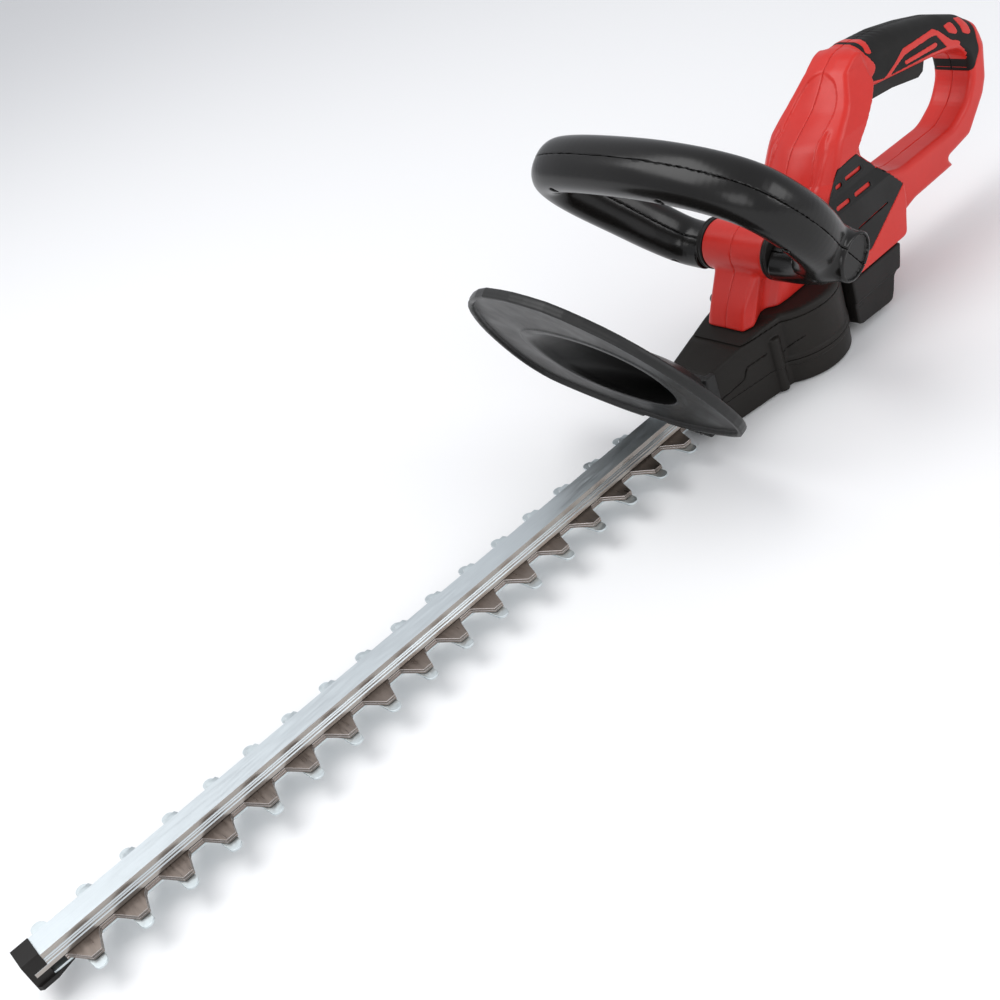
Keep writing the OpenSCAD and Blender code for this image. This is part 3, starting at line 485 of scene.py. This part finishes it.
def make_housing(red, rubber):
    step = mesh_step(0.9)
    low, high = (-256, 0, 44), (59, 38.5, 184.5)
    make_pair("housing", housing_field, low, high, step, red, ("housing_left", "housing_right"))
    make_pair("grip_skin", rubber_solid, (-250, 0, 105), (-106, 18.5, 185), step * 0.85, rubber,
              ("grip_left", "grip_right"))


def panel_field(x, y, z):
    """Vent panel: a thin plate that follows the housing, with slots and a fold."""
    out = np.abs(y) - neck_width(x, z)
    plate = round_max(panel_side(x, z) + 0.35, np.maximum(out + 0.25, -(out + 1.62)), 0.25)
    for vx, vz, length in VENTS:
        slot = np.hypot(np.maximum(np.abs(x - vx) - length / 2 + VENT_R, 0), z - vz) - VENT_R
        plate = cut(plate, slot, 0.35)
        lip = np.abs(slot - 1.1) - 0.35
        plate = cut(plate, np.maximum(lip, -(out + 0.45)), 0.1)
    groove = line_field(((-53, 78), (-87.5, 79.5)))(x, z) - 0.55
    return cut(plate, groove, 0.15)


def make_panels(material):
    step = mesh_step(0.6)
    make_pair("vent_panel", panel_field, (-109, 28, 55), (-24, 38.2, 127), step, material,
              ("vent_panel_left", "vent_panel_right"))


# ---------------------------------------------------------------------------
# Front handle
# ---------------------------------------------------------------------------

LOOP_X, LOOP_Z = 30, 108               # the loop plane's origin
LOOP_SIN, LOOP_COS = 0.5878, 0.8090    # of its lean of 36 degrees from the upright
ARM_Y = 31.6                           # the two ends stop at the collars
TUBE_U, TUBE_N = 15.0, 19.0            # half thicknesses, in the loop's plane and across it
TUBE_WALL = 2.6
STUB_B = 13.5                          # height up the loop of the round end on its left
# The tube's middle line: across, up the loop, and a share of the full thickness.
LOOP_POINTS = [(20, -14, 0.82), (48, -12.5, 0.80), (68, -5, 0.84), (85, 10, 0.94), (95, 42, 1),
               (94, 70, 1), (84, 94, 1), (62, 107, 1), (28, 114, 1), (-12, 115, 1), (-58, 111, 1),
               (-86, 102, 1), (-94.6, 85, 1), (-91, 64, 1), (-78, 34, 0.96), (-66, 8, 0.92),
               (-50, -10, 0.88), (-20, -14, 0.86)]
LOOP_SCREWS = [(-70, 108), (33, 113.5), (94.5, 62), (86, 12), (-53, -9)]


def spline(points, steps):
    """Smooth line through points, with extra values carried along."""
    p = np.array(points, float)
    last = len(p) - 1
    out = []
    for i in range(last):
        a, b, c, d = p[max(i - 1, 0)], p[i], p[i + 1], p[min(i + 2, last)]
        for k in range(steps):
            t = k / steps
            out.append(0.5 * (2 * b + (c - a) * t + (2 * a - 5 * b + 4 * c - d) * t * t
                              + (3 * b - a - 3 * c + d) * t ** 3))
    return np.array(out + [p[last]])


LOOP_LINE = spline(LOOP_POINTS, 7)


def loop_place(x, y, z):
    """Coordinates in the loop's own plane: across, up the loop, out of its front."""
    u, w = x - LOOP_X, z - LOOP_Z
    return y, u * LOOP_SIN + w * LOOP_COS, u * LOOP_COS - w * LOOP_SIN


def tube_solid(x, y, z, thin=0.0):
    """The loop's tube with the stub at its end, made smaller by thin."""
    a, b, out = loop_place(x, y, z)
    best = np.full(a.shape, 1e9, np.float32)
    share = np.ones(a.shape, np.float32)
    for (x0, y0, s0), (x1, y1, s1) in zip(LOOP_LINE[:-1], LOOP_LINE[1:]):
        ex, ey = x1 - x0, y1 - y0
        t = np.clip(((a - x0) * ex + (b - y0) * ey) / (ex * ex + ey * ey), 0, 1)
        d = (a - x0 - ex * t) ** 2 + (b - y0 - ey * t) ** 2
        near = d < best
        best = np.where(near, d, best)
        share = np.where(near, s0 + (s1 - s0) * t, share)
    ru, rn = TUBE_U * share - thin, TUBE_N * share - thin
    tube = (((np.sqrt(best) / ru) ** 2.2 + (np.abs(out) / rn) ** 2.2) ** (1 / 2.2) - 1) * ru
    stub = (np.hypot((b - STUB_B) / (12.3 - thin), out / (16.8 - thin)) - 1) * 12
    stub = round_max(stub, a - 110 + thin, 1.4)
    return smooth_min(tube, np.maximum(stub, 70 - a), 6.0 if thin == 0 else 3.0)


def handle_field(x, y, z):
    """The hollow loop: wall, end disc, screw posts and the switch bar's pocket."""
    a, b, out = loop_place(x, y, z)
    solid = cut(tube_solid(x, y, z), tube_solid(x, y, z, TUBE_WALL), 0.3)
    recess = (np.hypot((b - STUB_B) / 10.2, out / 14.6) - 1) * 10
    solid = cut(solid, np.maximum(recess, 108.2 - a), 0.5)
    solid = np.minimum(solid, np.maximum(np.abs(a - 106.9) - 1.2, recess - 0.6))
    solid = cut(solid, np.maximum(np.abs(a) - ARM_Y, b - 45), 0.8)
    for sx, sy in LOOP_SCREWS:
        post = np.hypot(a - sx, b - sy)
        solid = np.minimum(solid, np.maximum(round_max(post - 4.4, np.abs(out) - 12.5, 0.3),
                                             tube_solid(x, y, z) + 1))
        solid = cut(solid, np.maximum(post - 3.3, 11.2 - out), 0.5)
        solid = cut(solid, post - 1.6, 0.1)
    pocket = np.maximum(np.abs(a) - 46, np.maximum(np.abs(b - 102) - 7, np.abs(out) - 5.4))
    return cut(solid, pocket, 0.6)


def make_handle(material):
    step = mesh_step(0.95)
    low, high = (2, -112, 68), (115, 112, 222)
    for side, node in ((1, "handle_front_shell"), (-1, "handle_rear_shell")):
        def part(x, y, z, side=side):
            return round_max(handle_field(x, y, z), 0.14 - side * loop_place(x, y, z)[2], 0.4)
        verts, faces = surface(part, low, high, step)
        add_piece(node + "_visual", verts, faces, material, node, 50)


def collar_field(x, y, z):
    """The two rings between the boss and the ends of the loop."""
    r = np.hypot(x - BOSS_X, z - BOSS_Z)
    ring = round_max(r - 18.5, np.abs(np.abs(y) - 29) - 2.4, 0.8)
    ring = cut(ring, np.maximum(np.abs(r - 18.5) - 0.5, np.abs(np.abs(y) - 29.4) - 0.5), 0.2)
    return cut(ring, r - 4.0, 0.2)


# ---------------------------------------------------------------------------
# Hand guard
# ---------------------------------------------------------------------------

# Half of the guard's outline, from its top: across, up the guard.
GUARD_HALF = [(0, 108), (28, 105), (52, 93), (70, 78), (84, 58), (94, 36), (100, 10), (101, -10),
              (98, -24), (90, -36), (74, -44), (56, -50), (36, -55), (20, -57.5), (0, -58)]
guard_edge = [tuple(p) for p in spline(GUARD_HALF, 2)]
guard_side = outline(guard_edge + [(-a, b) for a, b in guard_edge[::-1][1:-1]])
GUARD_X, GUARD_Z = 163, 85.3           # a point on the guard's plane
GUARD_SIN, GUARD_COS = 0.4848, 0.8746  # of its lean from the upright
GUARD_SCREW_Y, GUARD_SCREW_Z = 14, 10.9
HUB_WALL = 2.6


def guard_place(x, y, z):
    """Coordinates in the guard's own plane: across, up the guard, out of its front."""
    u, w = x - GUARD_X, z - GUARD_Z
    return y, u * GUARD_SIN + w * GUARD_COS, u * GUARD_COS - w * GUARD_SIN


def hub_field(x, y, z):
    """A trumpet from the nose of the gearcase up to the oval in the guard's plate."""
    plane = GUARD_X + 0.5543 * (z - GUARD_Z)
    t = np.clip((x - 103) / np.maximum(plane - 103, 8), 0, 1.25)
    rise = t ** 1.05
    wide = t ** 1.35
    middle = 36.5 + 58.4 * rise
    hy, hz = 19 + 43 * wide, 12.5 + 27 * wide
    q = (np.abs(y / hy) ** 2.3 + np.abs((z - middle) / hz) ** 2.3) ** (1 / 2.3)
    return (q - 1) * np.minimum(hy, hz) * 0.8


PINION_X, LOBE_R = -45, 17             # the lobe of the gearcase round the pinion


def case_plan(x, y, inset=0.0):
    """Plan of the gearcase: drum, tapering nose and the lobe round the pinion."""
    ay = np.abs(y)
    drum = np.hypot(x, y) - DRUM_R
    rear = np.maximum(np.hypot(x - PINION_X, y) - LOBE_R, -x - 62)
    rear = np.minimum(rear, np.maximum(np.maximum(PINION_X - x, x), ay - LOBE_R))
    return np.minimum(np.minimum(drum, nose_plan(x, ay)), rear) + inset


nose_plan = outline([(0, 35), (34, 29), (102, 18), (102, -18), (34, -29), (0, -35)])


def guard_field(x, y, z):
    """The guard: plate, rim, hollow flare and the foot that is screwed to the nose."""
    a, b, out = guard_place(x, y, z)
    edge = guard_side(a, b)
    bowl = out - 1.2 * np.clip(1 - (edge + 3) / -28, 0, 1)
    plate = round_max(edge, np.abs(bowl + 1.2) - 1.3, 0.9)
    rim = round_max(np.abs(edge + 1.7) - 1.7, np.abs(out - 0.9) - 3.5, 1.1)
    solid = smooth_min(plate, rim, 1.6)
    hub = hub_field(x, y, z)
    inside = hub + HUB_WALL
    shell = np.maximum(np.maximum(hub, -inside), np.maximum(out - 0.2, 103 - x))
    solid = smooth_min(solid, shell, 3.0)
    solid = cut(solid, np.maximum(inside, 104 - x), 1.0)
    collar = box_field(x, y, z, (97, -23, 24), (107, 23, 50), 1.6)
    foot = box_field(x, y, z, (100, -24, 8), (116, 24, 26), 1.5)
    solid = smooth_min(solid, np.minimum(collar, foot), 1.2)
    nose = np.maximum(case_plan(x, y, -0.35), np.abs(z - 24) - 26.8)
    solid = cut(solid, nose, 0.3)
    solid = cut(solid, box_field(x, y, z, (101.9, -17.2, 13), (105.6, 17.2, 39), 0.2), 0.2)
    solid = cut(solid, box_field(x, y, z, (90, -11.5, 16.3), (160, 11.5, 35), 0.5), 0.4)
    for s in (-1, 1):
        r = np.hypot(y - GUARD_SCREW_Y * s, z - GUARD_SCREW_Z)
        solid = cut(solid, np.maximum(r - 2.8, 114.8 - x), 0.3)
        solid = cut(solid, r - 1.6, 0.1)
    return cut(solid, np.maximum(np.maximum(13.8 - z, z - 25.8), 108 - x), 0.5)


def make_guard(material):
    step = mesh_step(0.85)
    verts, faces = surface(guard_field, (96, -102, 7), (219, 102, 182), step)
    add_piece("hand_guard_visual", verts, faces, material, "hand_guard", 50)


# ---------------------------------------------------------------------------
# Gearcase and motor pod
# ---------------------------------------------------------------------------

CASE_SCREWS = [(40, 23.5), (40, -23.5), (88, 15.2), (88, -15.2), (-55, 9), (-55, -9)]
NOSE = [(-65, 10), (102, 10), (102, 45), (99, 48), (50, 56), (20, 58), (-20, 56), (-20, 50),
        (-65, 50)]
nose_side = outline(rounded(NOSE, 2))
case_groove = line_field(((50, 36), (68, 36), (72, 29), (75.5, 27.5), (95, 25)))
shoulder = line_field(((22, 36), (28, 34), (36, 29)))


RIB_X, RIB_Y = 42, 26.4                # the upright rib on each side of the nose


def upper_case(x, y, z):
    """Upper half of the gearcase, with room for the gear, the shafts and the blades."""
    r = np.hypot(x, y)
    plan = case_plan(x, y)
    drum = round_max(r - DRUM_R, z - 57.9, 4.0)
    nose = round_max(plan, nose_side(x, z), 2.4)
    post = np.hypot(x - RIB_X, np.abs(y) - RIB_Y) - 5.2
    post = smooth_max(post, z - 45, 3.0)
    solid = smooth_min(smooth_min(drum, nose, 1.6), post, 1.2)
    lip = round_max(np.maximum(r - 45.1, x - 36), np.abs(z - 21.8) - 1.8, 0.6)
    solid = smooth_min(solid, lip, 0.8)
    skin = -(plan + 1.1)
    solid = cut(solid, np.maximum(np.maximum(case_groove(x, z) - 0.6, skin), 48 - x), 0.2)
    solid = cut(solid, np.maximum(np.maximum(shoulder(x, z) - 0.4, skin), -y), 0.2)
    solid = cut(solid, np.maximum(np.abs(z - 52.5) - 0.35, -(r - 43.3)), 0.2)
    solid = round_max(solid, 20.12 - z, 0.4)
    solid = cut(solid, disc_field(x, y, z, 41, 0, 38, 0.5), 0.3)
    solid = cut(solid, disc_field(x, y, z, 11.1, 30, 51, 0.2), 0.3)
    solid = cut(solid, disc_field(x - PINION_X, y, z, 10.1, 10, 55, 0.2), 0.3)
    solid = cut(solid, disc_field(x - PINION_X, y, z, 23, 52, 70, 0.2), 0.3)
    solid = cut(solid, box_field(x, y, z, (15, -18, 10), (60, 18, 22), 0.2), 0.2)
    return cut(solid, box_field(x, y, z, (20, -10.7, 0), (110, 10.7, 32.4), 0.3), 0.3)


def lower_case(x, y, z):
    """Lower half of the gearcase, with its screw recesses."""
    r = np.hypot(x, y)
    plan = case_plan(x, y)
    solid = np.maximum(plan, -(z - 0.1))
    solid = np.maximum(solid, (plan - z + 1.5) * 0.71)
    lip = round_max(np.maximum(r - 45.1, x - 36), np.abs(z - 17.9) - 1.9, 0.6)
    post = np.maximum(np.hypot(x - RIB_X, np.abs(y) - RIB_Y) - 4.6, 1.5 - z)
    solid = smooth_min(smooth_min(solid, lip, 0.8), post, 1.0)
    solid = round_max(solid, z - 19.88, 0.4)
    solid = cut(solid, disc_field(x, y, z, 41, 16.4, 40, 0.3), 0.3)
    solid = cut(solid, disc_field(x, y, z, 12, 3, 30, 0.3), 0.3)
    solid = cut(solid, box_field(x, y, z, (20, -11, 16.4), (110, 11, 30), 0.3), 0.3)
    solid = cut(solid, box_field(x, y, z, (15, -18, 17.8), (60, 18, 30), 0.2), 0.2)
    solid = cut(solid, disc_field(x - PINION_X, y, z, 5.1, 3, 30, 0.1), 0.2)
    solid = cut(solid, disc_field(x - PINION_X, y, z, 10.1, 12, 30, 0.1), 0.2)
    for sx, sy in CASE_SCREWS:
        solid = cut(solid, disc_field(x - sx, y - sy, z, 3.5, -5, 3, 0.1), 0.4)
    for s in (-1, 1):
        bore = np.hypot(y - GUARD_SCREW_Y * s, z - GUARD_SCREW_Z) - 1.6
        solid = cut(solid, np.maximum(bore, 90 - x), 0.1)
    return solid


POD = [(-36, 9), (-40, 6.5), (-73, 4.5), (-77, 5.4), (-79.7, 10.5), (-83.4, 22.4), (-89.6, 25.3),
       (-91.3, 31.8), (-94.1, 44), (-36, 44)]
POD_ROOM = [(-39, 12), (-43, 9.5), (-72, 7.6), (-74.5, 8.5), (-76.8, 13), (-80.8, 25.2), (-87, 28),
            (-88.4, 33), (-90.4, 41), (-39, 41)]
pod_side = outline(rounded(POD, 2.2))
pod_room = outline(POD_ROOM)
pod_line = line_field(((-30, 22.8), (-43.2, 21.4)))


def pod_field(x, y, z):
    """Motor pod behind the gearcase: a hollow box with a parting line and vents below."""
    ay = np.abs(y)
    side = round_max(pod_side(x, z), ay - 37.9 + np.clip((25.6 - z) * 2, 0, 1.2), 1.4)
    side = cut(side, np.maximum(pod_line(x, z) - 0.4, 36.1 - ay), 0.2)
    side = cut(side, np.maximum(pod_room(x, z), ay - 33.8), 0.3)
    side = cut(side, box_field(x, y, z, (-62.3, -17.3, 0), (-20, 17.3, 50), 0.4), 0.4)
    side = cut(side, disc_field(x + 44, y, z, 23, -5, 60, 0.4), 0.4)
    side = cut(side, disc_field(x, y, z, DRUM_R + 1.5, -5, 60, 0.4), 0.5)
    for k in range(4):
        vent = np.maximum(np.abs(x + 67.8 - 5 * k) - 1.2, np.maximum(np.abs(ay - 26) - 7, z - 12))
        side = cut(side, vent, 0.4)
    return side


def make_cases(gear, black):
    step = mesh_step(0.8)
    for name, field, low, high, node in (
            ("gearcase_upper_visual", upper_case, (-63, -46, 19), (103, 46, 59), "gearcase_upper"),
            ("gearcase_lower_visual", lower_case, (-63, -46, 0), (103, 46, 21), "gearcase_lower")):
        verts, faces = surface(field, low, high, step)
        add_piece(name, verts, faces, gear, node, 45)
    verts, faces = surface(pod_field, (-95, -38, 4), (-30, 38, 44.2), step)
    add_piece("motor_pod_visual", verts, faces, black, "motor_pod", 45)
    verts, faces = surface(collar_field, (-1, -32, 79), (38, 32, 118), step * 0.7)
    add_piece("handle_collars_visual", verts, faces, black, "handle_collars", 45)


# ---------------------------------------------------------------------------
# Materials
# ---------------------------------------------------------------------------

MIX_A, MIX_B, MIX_OUT = 6, 7, 2        # the colour sockets of a Mix node


class Finish:
    """A procedural material, built up in layers over one principled shader."""

    def __init__(self, name, colour, rough, metallic=0.0, specular=0.5):
        self.mat = bpy.data.materials.new(name)
        self.mat.use_nodes = True
        self.tree = self.mat.node_tree
        self.shader = self.tree.nodes["Principled BSDF"]
        self.place = self.tree.nodes.new("ShaderNodeTexCoord").outputs["Object"]
        self.shader.inputs["Base Color"].default_value = (*colour, 1)
        self.shader.inputs["Roughness"].default_value = rough
        self.shader.inputs["Metallic"].default_value = metallic
        self.shader.inputs["Specular IOR Level"].default_value = specular
        self.colour = None
        self.base = colour
        self.normal = None

    def link(self, a, b):
        self.tree.links.new(a, b)

    def noise(self, scale, detail=3.0, stretch=(1, 1, 1)):
        mapping = self.tree.nodes.new("ShaderNodeMapping")
        mapping.inputs["Scale"].default_value = stretch
        self.link(self.place, mapping.inputs["Vector"])
        node = self.tree.nodes.new("ShaderNodeTexNoise")
        node.inputs["Scale"].default_value = scale
        node.inputs["Detail"].default_value = detail
        self.link(mapping.outputs["Vector"], node.inputs["Vector"])
        return node.outputs[0]

    def ramp(self, value, low, high, a, b):
        """Maps value, from low to high, onto a to b."""
        node = self.tree.nodes.new("ShaderNodeMapRange")
        for key, v in (("From Min", low), ("From Max", high), ("To Min", a), ("To Max", b)):
            node.inputs[key].default_value = v
        self.link(value, node.inputs["Value"])
        return node.outputs["Result"]

    def tint(self, value, colour, low, high, amount=1.0):
        """Mixes in a colour where value runs from low to high."""
        mix = self.tree.nodes.new("ShaderNodeMix")
        mix.data_type = "RGBA"
        self.link(self.ramp(value, low, high, 0.0, amount), mix.inputs["Factor"])
        if self.colour is None:
            mix.inputs[MIX_A].default_value = (*self.base, 1)
        else:
            self.link(self.colour, mix.inputs[MIX_A])
        mix.inputs[MIX_B].default_value = (*colour, 1)
        self.colour = mix.outputs[MIX_OUT]
        self.link(self.colour, self.shader.inputs["Base Color"])

    def gloss(self, value, low, high, a, b):
        """Roughness runs from a to b as value runs from low to high."""
        self.link(self.ramp(value, low, high, a, b), self.shader.inputs["Roughness"])

    def bump(self, value, strength, distance_mm):
        """Adds relief on top of any bump that is already there."""
        node = self.tree.nodes.new("ShaderNodeBump")
        node.inputs["Strength"].default_value = strength
        node.inputs["Distance"].default_value = distance_mm * MM
        self.link(value, node.inputs["Height"])
        if self.normal is not None:
            self.link(self.normal, node.inputs["Normal"])
        self.normal = node.outputs["Normal"]
        self.link(self.normal, self.shader.inputs["Normal"])


def moulded(name, colour, shade, rough, grain, depth, spread, specular):
    """Moulded plastic: soft colour drift, uneven gloss and a fine grain."""
    f = Finish(name, colour, rough, specular=specular)
    f.tint(f.noise(14, 2), shade, 0.35, 0.75, 0.5)
    f.tint(f.noise(260, 4), shade, 0.45, 0.8, 0.25)
    f.gloss(f.noise(45, 5), 0.3, 0.7, rough - spread, rough + spread)
    f.bump(f.noise(grain, 2), 0.25, depth)
    f.bump(f.noise(60, 2), 0.08, 0.25)
    return f.mat


def machined(name, colour, shade, rough, stretch, grain, depth, stain):
    """Bare metal with fine marks along one direction and faint staining."""
    f = Finish(name, colour, rough, metallic=1.0)
    f.tint(f.noise(22, 4), shade, 0.4, 0.75, stain)
    f.tint(f.noise(grain, 3, stretch), shade, 0.4, 0.8, 0.3)
    f.gloss(f.noise(grain * 0.7, 4, stretch), 0.3, 0.7, rough - 0.08, rough + 0.12)
    f.bump(f.noise(grain, 3, stretch), 0.2, depth)
    return f.mat


# Moulded materials: colour, second shade, roughness, grain scale, grain depth (mm), roughness spread,
# specular level.
MOULDED = {
    "red_plastic": ((0.60, 0.026, 0.018), (0.48, 0.018, 0.013), 0.36, 1300, 0.03, 0.08, 0.35),
    "rubber_grip": ((0.010, 0.0095, 0.009), (0.017, 0.016, 0.015), 0.60, 900, 0.06, 0.08, 0.18),
    "gloss_black": ((0.0065, 0.006, 0.0055), (0.010, 0.009, 0.008), 0.24, 1600, 0.015, 0.03, 0.33),
    "guard_plastic": ((0.016, 0.0158, 0.0155), (0.024, 0.0235, 0.023), 0.42, 1200, 0.03, 0.08, 0.28),
    "gearcase_plastic": ((0.013, 0.0112, 0.0095), (0.020, 0.0172, 0.015), 0.50, 1000, 0.05, 0.08, 0.2),
    "black_plastic": ((0.011, 0.0098, 0.009), (0.017, 0.0155, 0.0145), 0.46, 1500, 0.03, 0.08, 0.22),
    "panel_plastic": ((0.009, 0.0086, 0.0082), (0.015, 0.0142, 0.0135), 0.42, 1500, 0.03, 0.08, 0.22),
    "magnet": ((0.05, 0.05, 0.055), (0.09, 0.09, 0.1), 0.5, 700, 0.04, 0.08, 0.5),
    "felt": ((0.24, 0.21, 0.17), (0.15, 0.13, 0.10), 0.9, 400, 0.4, 0.05, 0.5),
}
# Metals: colour, shade, roughness, stretch of the marks, their scale, depth (mm), staining.
MACHINED = {
    "bar_aluminium": ((0.66, 0.71, 0.73), (0.58, 0.62, 0.64), 0.42, (0.05, 1, 1), 1400, 0.006, 0.2),
    # The bar's sides: its aluminium painted darker and browner than the top, as painted shade and a
    # painted warm reflection.
    "bar_flank": ((0.40, 0.37, 0.34), (0.24, 0.21, 0.19), 0.30, (0.03, 1, 1), 1500, 0.03, 0.3),
    "blade_steel": ((0.30, 0.255, 0.225), (0.17, 0.135, 0.115), 0.34, (1, 0.12, 1), 900, 0.02, 0.35),
    # The teeth's ground bevels: near white and pinkish, partly the bright ground steel and partly a
    # painted highlight.
    "ground_steel_and_highlight": ((0.93, 0.89, 0.88), (0.70, 0.65, 0.63), 0.30, (1, 0.1, 1), 900, 0.02, 0.35),
    "zinc_steel": ((0.66, 0.72, 0.735), (0.50, 0.55, 0.565), 0.42, (1, 1, 1), 500, 0.02, 0.5),
    "screw_steel": ((0.16, 0.155, 0.15), (0.09, 0.085, 0.08), 0.34, (1, 1, 1), 700, 0.02, 0.35),
    "drive_steel": ((0.46, 0.45, 0.44), (0.30, 0.29, 0.28), 0.28, (1, 1, 1), 700, 0.02, 0.35),
    "spring_steel": ((0.5, 0.49, 0.47), (0.33, 0.32, 0.3), 0.26, (1, 1, 1), 900, 0.02, 0.35),
    "bronze": ((0.60, 0.42, 0.18), (0.42, 0.27, 0.10), 0.36, (1, 1, 1), 800, 0.02, 0.35),
    "copper": ((0.64, 0.27, 0.13), (0.45, 0.15, 0.07), 0.32, (1, 1, 0.2), 800, 0.02, 0.35),
}


def make_materials():
    finishes = {name: moulded(name, *values) for name, values in MOULDED.items()}
    finishes.update({name: machined(name, *values) for name, values in MACHINED.items()})
    return finishes


# ---------------------------------------------------------------------------
# Hard parts: the CAD solids' own faces with softened edges
# ---------------------------------------------------------------------------

CREASE = math.radians(28)      # sharper edges than this are softened
# Painted light: the teeth beyond FAR_Y, on the far side, get a lighter steel than the near ones, which
# keep the darker brown steel as painted shade.
FAR_Y = -9.5 * MM              # the teeth beyond this are the right-hand ones


def refine(node, width_mm, material, segments=2, keen=None, top=None, far=None):
    """A copy of a CAD solid with bevelled edges, which stands for the node.

    keen is (reach, width, material): edges of the upper face beyond that reach from the middle are
    ground to a bevel.  top is a second material for the faces that look up, while the other faces
    keep the first: the top is painted lighter and the sides darker, as painted light and shade.
    far is a lighter material for the right-hand teeth, a painted light on the far side against the
    darker near teeth.
    """
    source = frame["nodes"][node]
    bm = bmesh.new()
    bm.from_mesh(source.data)
    bm.transform(source.matrix_world)
    bmesh.ops.remove_doubles(bm, verts=bm.verts, dist=1e-6)
    bmesh.ops.dissolve_limit(bm, angle_limit=math.radians(0.5), verts=bm.verts, edges=bm.edges)
    mesh = bpy.data.meshes.new(node + "_finished")
    mesh.materials.append(material)
    # Painted light and shade: faces that look up get the lighter top material, the rest keep the
    # darker first one.
    if top:
        mesh.materials.append(top)
        for face in bm.faces:
            face.material_index = int(face.normal.z > 0.5)
    # Painted light: faces beyond FAR_Y get the lighter far material.
    if far:
        mesh.materials.append(far)
        bmesh.ops.bisect_plane(bm, geom=bm.verts[:] + bm.edges[:] + bm.faces[:], dist=1e-7,
                               plane_co=(0, FAR_Y, 0), plane_no=(0, 1, 0))
        for face in bm.faces:
            if face.calc_center_median().y < FAR_Y:
                face.material_index = 1
    if keen:
        reach, ground, edge_material = keen
        mesh.materials.append(edge_material)
        edges = [e for e in bm.edges if len(e.link_faces) == 2
                 and max(f.normal.z for f in e.link_faces) > 0.9
                 and abs(min(f.normal.z for f in e.link_faces)) < 0.2
                 and min(abs(v.co.y) for v in e.verts) > reach * MM]
        bmesh.ops.bevel(bm, geom=edges, offset=ground * MM, offset_type="OFFSET", segments=1,
                        affect="EDGES", profile=0.5, clamp_overlap=True,
                        material=len(mesh.materials) - 1)
    bm.to_mesh(mesh)
    bm.free()
    piece = bpy.data.objects.new(node + "_finished", mesh)
    bpy.context.scene.collection.objects.link(piece)
    bevel = piece.modifiers.new("soft_edges", "BEVEL")
    bevel.width = width_mm * MM
    bevel.segments = segments
    bevel.limit_method = "ANGLE"
    bevel.angle_limit = CREASE
    bevel.harden_normals = True
    mesh.shade_smooth()
    mesh.set_sharp_from_angle(angle=CREASE)
    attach(piece, BODY_OF[node])
    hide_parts(node)
    return piece


def coil(base, along, length, radius, wire, turns, sides=8, steps=18):
    """Points and faces of a wire wound round an axis, with closed ends."""
    base, along = np.array(base, float), np.array(along, float)
    along = along / np.linalg.norm(along)
    across = np.cross(along, (0, 1, 0) if abs(along[1]) < 0.9 else (1, 0, 0))
    across = across / np.linalg.norm(across)
    other = np.cross(along, across)
    count = turns * steps + 1
    points, faces = [], []
    for k in range(count):
        turn = 2 * math.pi * k / steps
        out = across * math.cos(turn) + other * math.sin(turn)
        middle = base + out * radius + along * (wire + (length - 2 * wire) * k / (count - 1))
        for j in range(sides):
            a = 2 * math.pi * j / sides
            points.append(middle + wire * (out * math.cos(a) + along * math.sin(a)))
    for k in range(count - 1):
        for j in range(sides):
            n = (j + 1) % sides
            faces.append((k * sides + j, k * sides + n, (k + 1) * sides + n, (k + 1) * sides + j))
    faces.append(tuple(range(sides))[::-1])
    faces.append(tuple((count - 1) * sides + j for j in range(sides)))
    return points, faces


def make_springs(material):
    """Return springs of the trigger and the switch bar, which shorten on the real tool as these are
    pressed; here each is a fixed coil with a mesh of its own.
    """
    verts, faces = coil((-150, 0, 152.8), (0, 0, 1), 8, 2.6, 0.38, 5)
    spring = add_piece("trigger_coil", verts, faces, material, "trigger_spring")
    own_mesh(spring)
    up = (LOOP_SIN, 0, LOOP_COS)
    verts, faces = [], []
    for y in (-30, 30):
        foot = (LOOP_X + 105 * up[0], y, LOOP_Z + 105 * up[2])
        more, rings = coil(foot, up, 3, 2.2, 0.3, 3)
        faces += [tuple(v + len(verts) for v in ring) for ring in rings]
        verts += more
    springs = add_piece("switch_bar_coils", verts, faces, material, "switch_bar_springs")
    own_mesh(springs)


def make_hard_parts(m):
    # Near teeth keep the darker brown blade steel and far teeth get the lighter zinc steel: painted
    # shade and painted light on one steel.
    for node in ("upper_blade", "lower_blade"):
        # The ground bevels: near-white steel, partly real grinding and partly a painted highlight.
        refine(node, 0.12, m["blade_steel"], 1, keen=(9.0, 1.1, m["ground_steel_and_highlight"]),
               far=m["zinc_steel"])
    refine("comb", 0.35, m["zinc_steel"])
    # The guide bar: darker, browner sides as painted shade and reflection, and a lighter top.
    refine("guide_bar", 0.3, m["bar_flank"], top=m["bar_aluminium"])
    refine("tip_cap", 0.9, m["black_plastic"], 3)
    refine("trigger", 1.6, m["black_plastic"], 3)
    refine("switch_bar", 1.1, m["black_plastic"], 3)
    for node in ("bar_screws", "tip_screw", "handle_screws", "guard_screws", "gearcase_screws"):
        refine(node, 0.25, m["screw_steel"])
    screws = refine("housing_screws", 0.25, m["screw_steel"])
    for vertex in screws.data.vertices:
        x, y, z = vertex.co / MM
        if z > 160 or (-40 < x < -20 and z > 112):      # the two at the front of the neck
            vertex.co.x -= 7 * MM                       # stay under its rounded surface
            vertex.co.y = max(min(y, 7.5), -13) * MM


def main():
    make_camera()
    make_stage()
    finishes = make_materials()
    for node, obj in frame["nodes"].items():
        for slot in obj.material_slots:
            slot.material = finishes[SLOT_OF[node]]
    make_housing(finishes["red_plastic"], finishes["rubber_grip"])
    make_panels(finishes["panel_plastic"])
    make_handle(finishes["gloss_black"])
    make_guard(finishes["guard_plastic"])
    make_cases(finishes["gearcase_plastic"], finishes["black_plastic"])
    make_hard_parts(finishes)
    make_springs(finishes["spring_steel"])


main()
